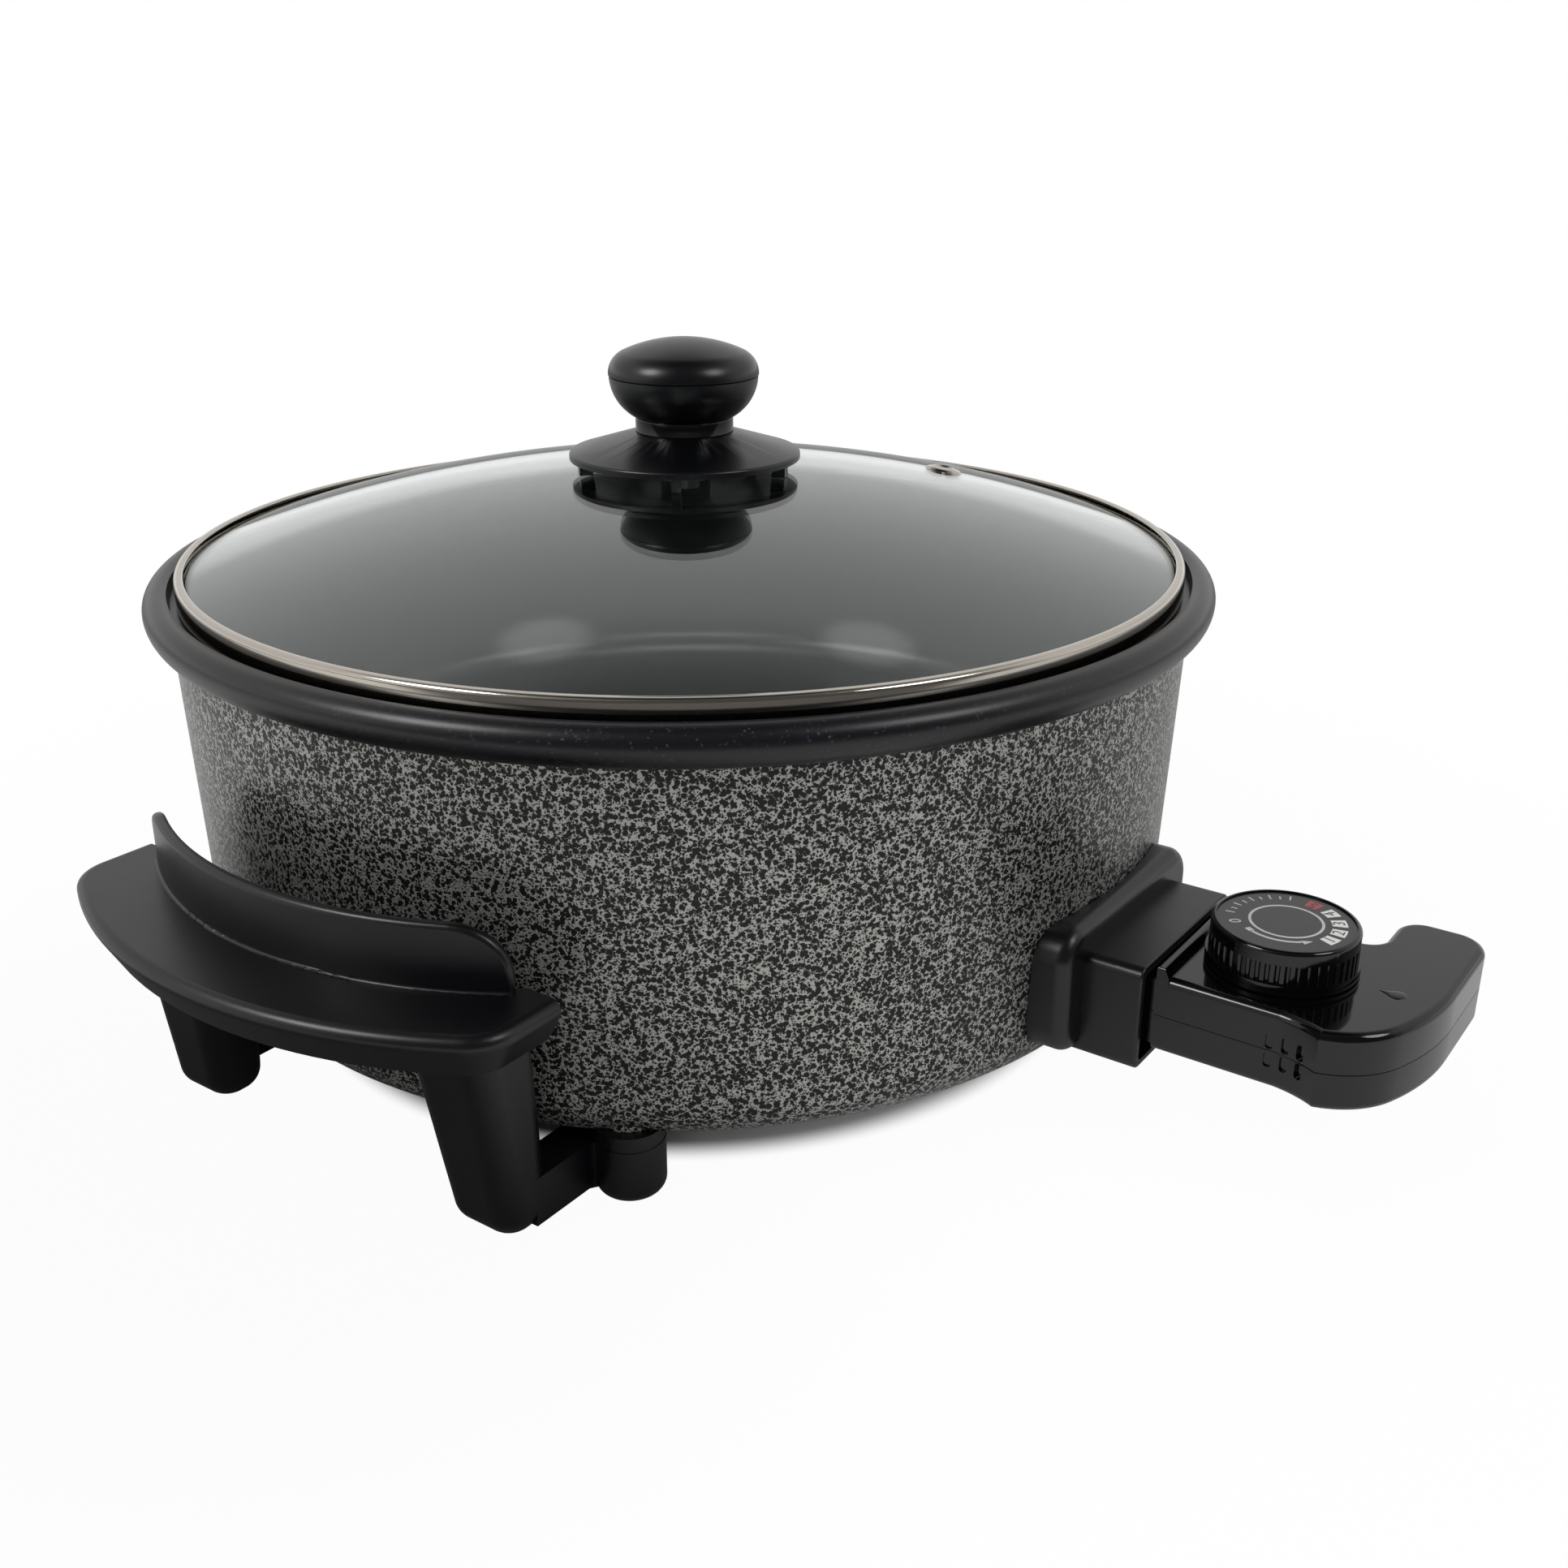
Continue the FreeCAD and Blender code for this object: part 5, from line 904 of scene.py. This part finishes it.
class SKILLET_OT_thermostat(bpy.types.Operator):
    """Dresses the thermostat's shells, inlet, slots and pointer"""

    bl_idname = "skillet.thermostat"
    bl_label = "Thermostat"

    def execute(self, context):
        s = context.scene.skillet_housing

        def round_parting(shape):
            """Rounds the edges where the two shells meet, which leaves a fine groove."""
            meeting = [
                edge
                for edge in shape.edges
                if all(abs(vert.co.z - s.parting) < ON_PARTING for vert in edge.verts)
                and len(edge.link_faces) == 2
                and edge.calc_face_angle(0) > math.radians(60)
            ]
            bmesh.ops.bevel(
                shape,
                geom=meeting,
                offset=s.parting_round,
                offset_type="OFFSET",
                segments=2,
                profile=0.5,
                affect="EDGES",
                material=-1,
                clamp_overlap=False,
            )

        for side in ("upper", "lower"):
            node, name = "case_" + side, side + "_shell"
            dress_copy(node, name, "thermostat", "gloss_black", sharp=30, change=round_parting)
        dress_copy("cord_bush", "inlet_bush", "thermostat", "gloss_black")
        self.back_slots(s)
        self.raise_pointer(s)
        return {"FINISHED"}

    @staticmethod
    def back_slots(s):
        """A thin curved wall a little behind the near side, which makes the slots shallow."""
        shape = bmesh.new()
        inner = s.flare + s.slot_depth
        start, sweep = math.degrees(s.slot_start), math.degrees(s.slot_sweep)
        add_bar(shape, inner, inner + s.slot_wall, start, sweep, s.slot_low, s.slot_high)
        bmesh.ops.recalc_face_normals(shape, faces=shape.faces)
        bmesh.ops.translate(shape, verts=shape.verts, vec=s.flare_place)
        finish_shape(shape, "slot_backs", "thermostat", "gloss_black")

    @staticmethod
    def raise_pointer(s):
        """A raised drop on the housing's top whose tip points at the dial."""
        width = s.pointer_width / 2
        middle = s.pointer_end - width
        shape = bmesh.new()
        bmesh.ops.create_uvsphere(shape, u_segments=48, v_segments=12, radius=1.0)
        below = [vert for vert in shape.verts if vert.co.z < -SAME_POINT]
        bmesh.ops.delete(shape, geom=below, context="VERTS")
        rim = [edge for edge in shape.edges if edge.is_boundary]
        foot = bmesh.ops.extrude_edge_only(shape, edges=rim)["geom"]
        sunk = [part for part in foot if isinstance(part, bmesh.types.BMVert)]
        bmesh.ops.translate(shape, verts=sunk, vec=(0, 0, -0.5))
        bmesh.ops.contextual_create(shape, geom=[edge for edge in shape.edges if edge.is_boundary])
        for vert in shape.verts:
            tail = max(0.0, -vert.co.x)
            vert.co.y *= 1 - tail * tail
            vert.co.x -= tail * tail * ((middle - s.pointer_tip) / width - 1)
        bmesh.ops.scale(shape, verts=shape.verts, vec=(width, width, s.pointer_height))
        bmesh.ops.translate(shape, verts=shape.verts, vec=(middle, 0, s.top))
        bmesh.ops.recalc_face_normals(shape, faces=shape.faces)
        finish_shape(shape, "pointer", "thermostat", "gloss_black", finishes=["knob_moulding"])


class SKILLET_OT_dial(bpy.types.Operator):
    """Dresses the temperature dial, its ribs and its printed face"""

    bl_idname = "skillet.dial"
    bl_label = "Dial"

    def execute(self, context):
        s = context.scene.skillet_dial
        dress_copy("dial", "dial_cap", "dial_knob", "gloss_black")
        paint_node("dial_face", "dial_print")
        self.print_grey(s)
        self.print_boxes(s)
        return {"FINISHED"}

    def print_grey(self, s):
        """The ring, nought, the turning arrow and the fine ticks."""
        low, high = s.face, s.face + s.print_depth
        grey = bmesh.new()
        add_bar(grey, s.ring_radius, s.ring_radius + s.ring_width, 0, 360, low, high)
        for inner, outer, start, end in ARROW_BARS:
            add_bar(grey, inner, outer, start, end - start, low, high)
        add_arrow_head(grey, low, high)
        step = (TICKS_END - TICKS_START) / (s.tick_count - 1)
        sweep = math.degrees(s.tick_sweep)
        for tick in range(s.tick_count):
            start = TICKS_START + tick * step - sweep / 2
            add_bar(grey, s.tick_inner, TICK_REACHES[tick % 2], start, sweep, low, high)
        add_number(grey, "0", NOUGHT, s, low, high)
        self.finish_print(grey, "dial_marks", "print_grey", s)

    def print_boxes(self, s):
        """The numbers, each dark on a pale box; the highest one's box is red."""
        low, high = s.face, s.face + s.print_depth
        pale, red, dark = bmesh.new(), bmesh.new(), bmesh.new()
        sweep = math.degrees(s.box_sweep)
        for number, azimuth in enumerate(NUMBER_PLACES, start=1):
            box = red if number == len(NUMBER_PLACES) else pale
            add_bar(box, s.box_inner, s.box_outer, azimuth - sweep / 2, sweep, low, high)
            add_number(dark, str(number), azimuth, s, high, high + s.print_depth)
        self.finish_print(pale, "dial_boxes", "print_light", s)
        self.finish_print(red, "dial_hot_box", "print_red", s)
        self.finish_print(dark, "dial_numbers", "print_dark", s)

    @staticmethod
    def finish_print(shape, name, finish, s):
        bmesh.ops.recalc_face_normals(shape, faces=shape.faces)
        bmesh.ops.translate(shape, verts=shape.verts, vec=(s.place, 0, 0))
        finish_shape(shape, name, "dial_knob", "dial_print", finishes=[finish])


class SKILLET_OT_fittings(bpy.types.Operator):
    """Gives every fitting that keeps its CAD shape its finish"""

    bl_idname = "skillet.fittings"
    bl_label = "Fittings"

    def execute(self, context):
        for part in frame["record"]["subparts"]:
            node = frame["nodes"][part["node"]]
            if not node.hide_render:
                paint_node(part["node"], part["material_slot"])
        return {"FINISHED"}


# Name, place, diameter, power and whether glossy surfaces mirror it
LAMPS = (
    ("left_softbox", (-0.459, -1.136, 1.13), 0.60, 9.0, True),
    ("right_softbox", (1.224, 0.064, 1.13), 0.60, 5.0, True),
    ("top_softbox", (0.05, -0.05, 1.75), 0.60, 5.0, False),
    ("fill_lamp", (1.1, -1.4, 0.8), 1.50, 24.0, False),
)
# What the lamps point at
AIM = (0, 0, 0.1)

# Directions of the two round ceiling lights and the cosines where their edges fade
SPOTS = ((-0.5538, 0.4383, 0.7080), (-0.2647, 0.6569, 0.7060))
SPOT_EDGE = (0.9978, 0.9998)

# Where the studio passes from horizon to backdrop, overhead and zenith, as a direction's height,
# and where its dark side ends, as a cosine
STUDIO_EDGES = ((0.13, 0.21), (0.66, 0.84), (0.86, 0.97))
DARK_SIDE_EDGE = (-0.75, -0.15)

# The floor's radius, and in metres where its tone changes: out from the middle of its painted
# shade, towards the camera where more shade is painted, where white takes over, and at the edge
# of the dark ground
FLOOR_RADIUS = 8
PAINTED_SHADE_EDGE = (0.08, 0.25)
AHEAD_PAINTED_SHADE_EDGE = (0.38, 0.52)
WHITE_EDGE = (0.22, 0.50)
GROUND_EDGE = (0.127, 0.139)

WHITE = (1.0, 1.0, 1.0, 1.0)


class SKILLET_OT_stage(bpy.types.Operator):
    """Lays the floor and sets up the studio, its lamps and the camera"""

    bl_idname = "skillet.stage"
    bl_label = "Stage"

    def execute(self, context):
        s = context.scene.skillet_stage
        self.lay_floor(s)
        self.light_studio(s)
        for name, place, size, power, mirrored in LAMPS:
            self.add_lamp(name, place, size, power, mirrored)
        lens = bpy.data.cameras.new("camera")
        lens.lens = s.lens
        lens.sensor_width = 36
        camera = add_object("camera", lens)
        camera.location = s.camera_place
        camera.rotation_euler = s.camera_turn
        context.scene.camera = camera
        context.scene.view_settings.view_transform = "Standard"
        return {"FINISHED"}

    @staticmethod
    def lay_floor(s):
        """A wide pale disc with painted shade in its colour, round the object and towards the
        camera.
        Its painted tone lights the object and shows in its gloss; the camera sees it nearly white,
        but for the dark ground under the pan."""
        shape = bmesh.new()
        bmesh.ops.create_circle(shape, cap_ends=True, segments=96, radius=FLOOR_RADIUS)
        mesh = bpy.data.meshes.new("floor")
        shape.to_mesh(mesh)
        shape.free()
        finish = Finish("pale_floor")
        place = finish.place()
        front = Vector((*s.camera_place[:2], 0)).normalized()
        away = finish.measure("LENGTH", place)
        ahead = finish.measure("DOT_PRODUCT", place, front)
        apart = finish.measure("DISTANCE", place, s.shade_place)
        # Painted shade: the floor's colour darkens round a spot in front of the object and again
        # towards the camera
        painted_fall = finish.step(apart, *PAINTED_SHADE_EDGE) * (1 - s.floor_dark) + s.floor_dark
        painted_fall = painted_fall * (finish.step(ahead, *AHEAD_PAINTED_SHADE_EDGE) * (s.floor_dark - 1) + 1)
        parts = zip(("Red", "Green", "Blue"), s.floor)
        tone = finish.node("CombineColor", None, {name: painted_fall * part for name, part in parts})
        share = finish.step(away, *WHITE_EDGE) * (1 - s.floor_glow) + s.floor_glow
        seen = finish.node("LightPath", output="Is Camera Ray")
        share = share * finish.step(away, *GROUND_EDGE) * seen
        lit = finish.node("BsdfDiffuse", None, {"Color": tone})
        glow = finish.node("Emission", None, {"Color": WHITE, "Strength": 1.0})
        both = finish.node("MixShader", None, {0: share, 1: lit, 2: glow})
        finish.node("OutputMaterial", None, {"Surface": both})
        mesh.materials.append(finish.material)
        add_object("floor", mesh)

    @staticmethod
    def light_studio(s):
        """A pale studio: white near the floor, darker overhead and on the camera's side."""
        world = bpy.data.worlds.new("studio")
        bpy.context.scene.world = world
        studio = Finish("studio", world)
        direction = studio.node("TexCoord", output="Generated")
        height = studio.node("SeparateXYZ", None, {0: direction}, output="Z")
        tones = (s.horizon, s.backdrop, s.overhead, s.zenith)
        level = s.horizon
        for edge, below, above in zip(STUDIO_EDGES, tones, tones[1:]):
            level = level + studio.step(height, *edge) * (above - below)
        back = (-math.cos(s.front_azimuth), -math.sin(s.front_azimuth), 0)
        facing = studio.measure("DOT_PRODUCT", direction, back)
        level = level * (studio.step(facing, *DARK_SIDE_EDGE) * (1 - s.front) + s.front)
        for spot in SPOTS:
            facing = studio.measure("DOT_PRODUCT", direction, spot)
            level = level + studio.step(facing, *SPOT_EDGE) * s.spot
        seen = studio.node("LightPath", output="Is Camera Ray")
        strength = level + seen * (1 - level)
        light = studio.node("Background", None, {"Color": WHITE, "Strength": strength})
        studio.node("OutputWorld", None, {"Surface": light})

    @staticmethod
    def add_lamp(name, place, size, power, mirrored):
        lamp = bpy.data.lights.new(name, "AREA")
        lamp.shape = "DISK"
        lamp.size = size
        lamp.energy = power
        holder = add_object(name, lamp)
        holder.location = place
        holder.visible_glossy = mirrored
        ray = Vector(AIM) - Vector(place)
        holder.rotation_euler = ray.to_track_quat("-Z", "Y").to_euler()


class SKILLET_PT_sidebar(bpy.types.Panel):
    bl_label = "Electric Skillet"
    bl_idname = "SKILLET_PT_sidebar"
    bl_space_type = "VIEW_3D"
    bl_region_type = "UI"
    bl_category = "Skillet"

    def draw(self, context):
        for title, group, operators in PARTS:
            box = self.layout.box()
            for operator in operators:
                box.operator(operator.bl_idname)
            if group:
                for name in group.__annotations__:
                    box.prop(getattr(context.scene, title), name)


PARTS = [
    ("skillet_pan", PanSettings, [SKILLET_OT_pan]),
    ("skillet_lid", LidSettings, [SKILLET_OT_lid]),
    ("skillet_knob", KnobSettings, [SKILLET_OT_knob, SKILLET_OT_handles]),
    ("skillet_housing", HousingSettings, [SKILLET_OT_thermostat]),
    ("skillet_dial", DialSettings, [SKILLET_OT_dial]),
    ("skillet_fittings", None, [SKILLET_OT_fittings]),
    ("skillet_stage", StageSettings, [SKILLET_OT_stage]),
]


def register():
    for title, group, operators in PARTS:
        if group:
            bpy.utils.register_class(group)
            setattr(bpy.types.Scene, title, bpy.props.PointerProperty(type=group))
        for operator in operators:
            bpy.utils.register_class(operator)
    bpy.utils.register_class(SKILLET_PT_sidebar)


def unregister():
    bpy.utils.unregister_class(SKILLET_PT_sidebar)
    for title, group, operators in reversed(PARTS):
        for operator in operators:
            bpy.utils.unregister_class(operator)
        if group:
            delattr(bpy.types.Scene, title)
            bpy.utils.unregister_class(group)


def main():
    register()
    for title, group, operators in PARTS:
        for operator in operators:
            getattr(bpy.ops.skillet, operator.bl_idname.split(".")[1])()


if __name__ == "__main__":
    main()
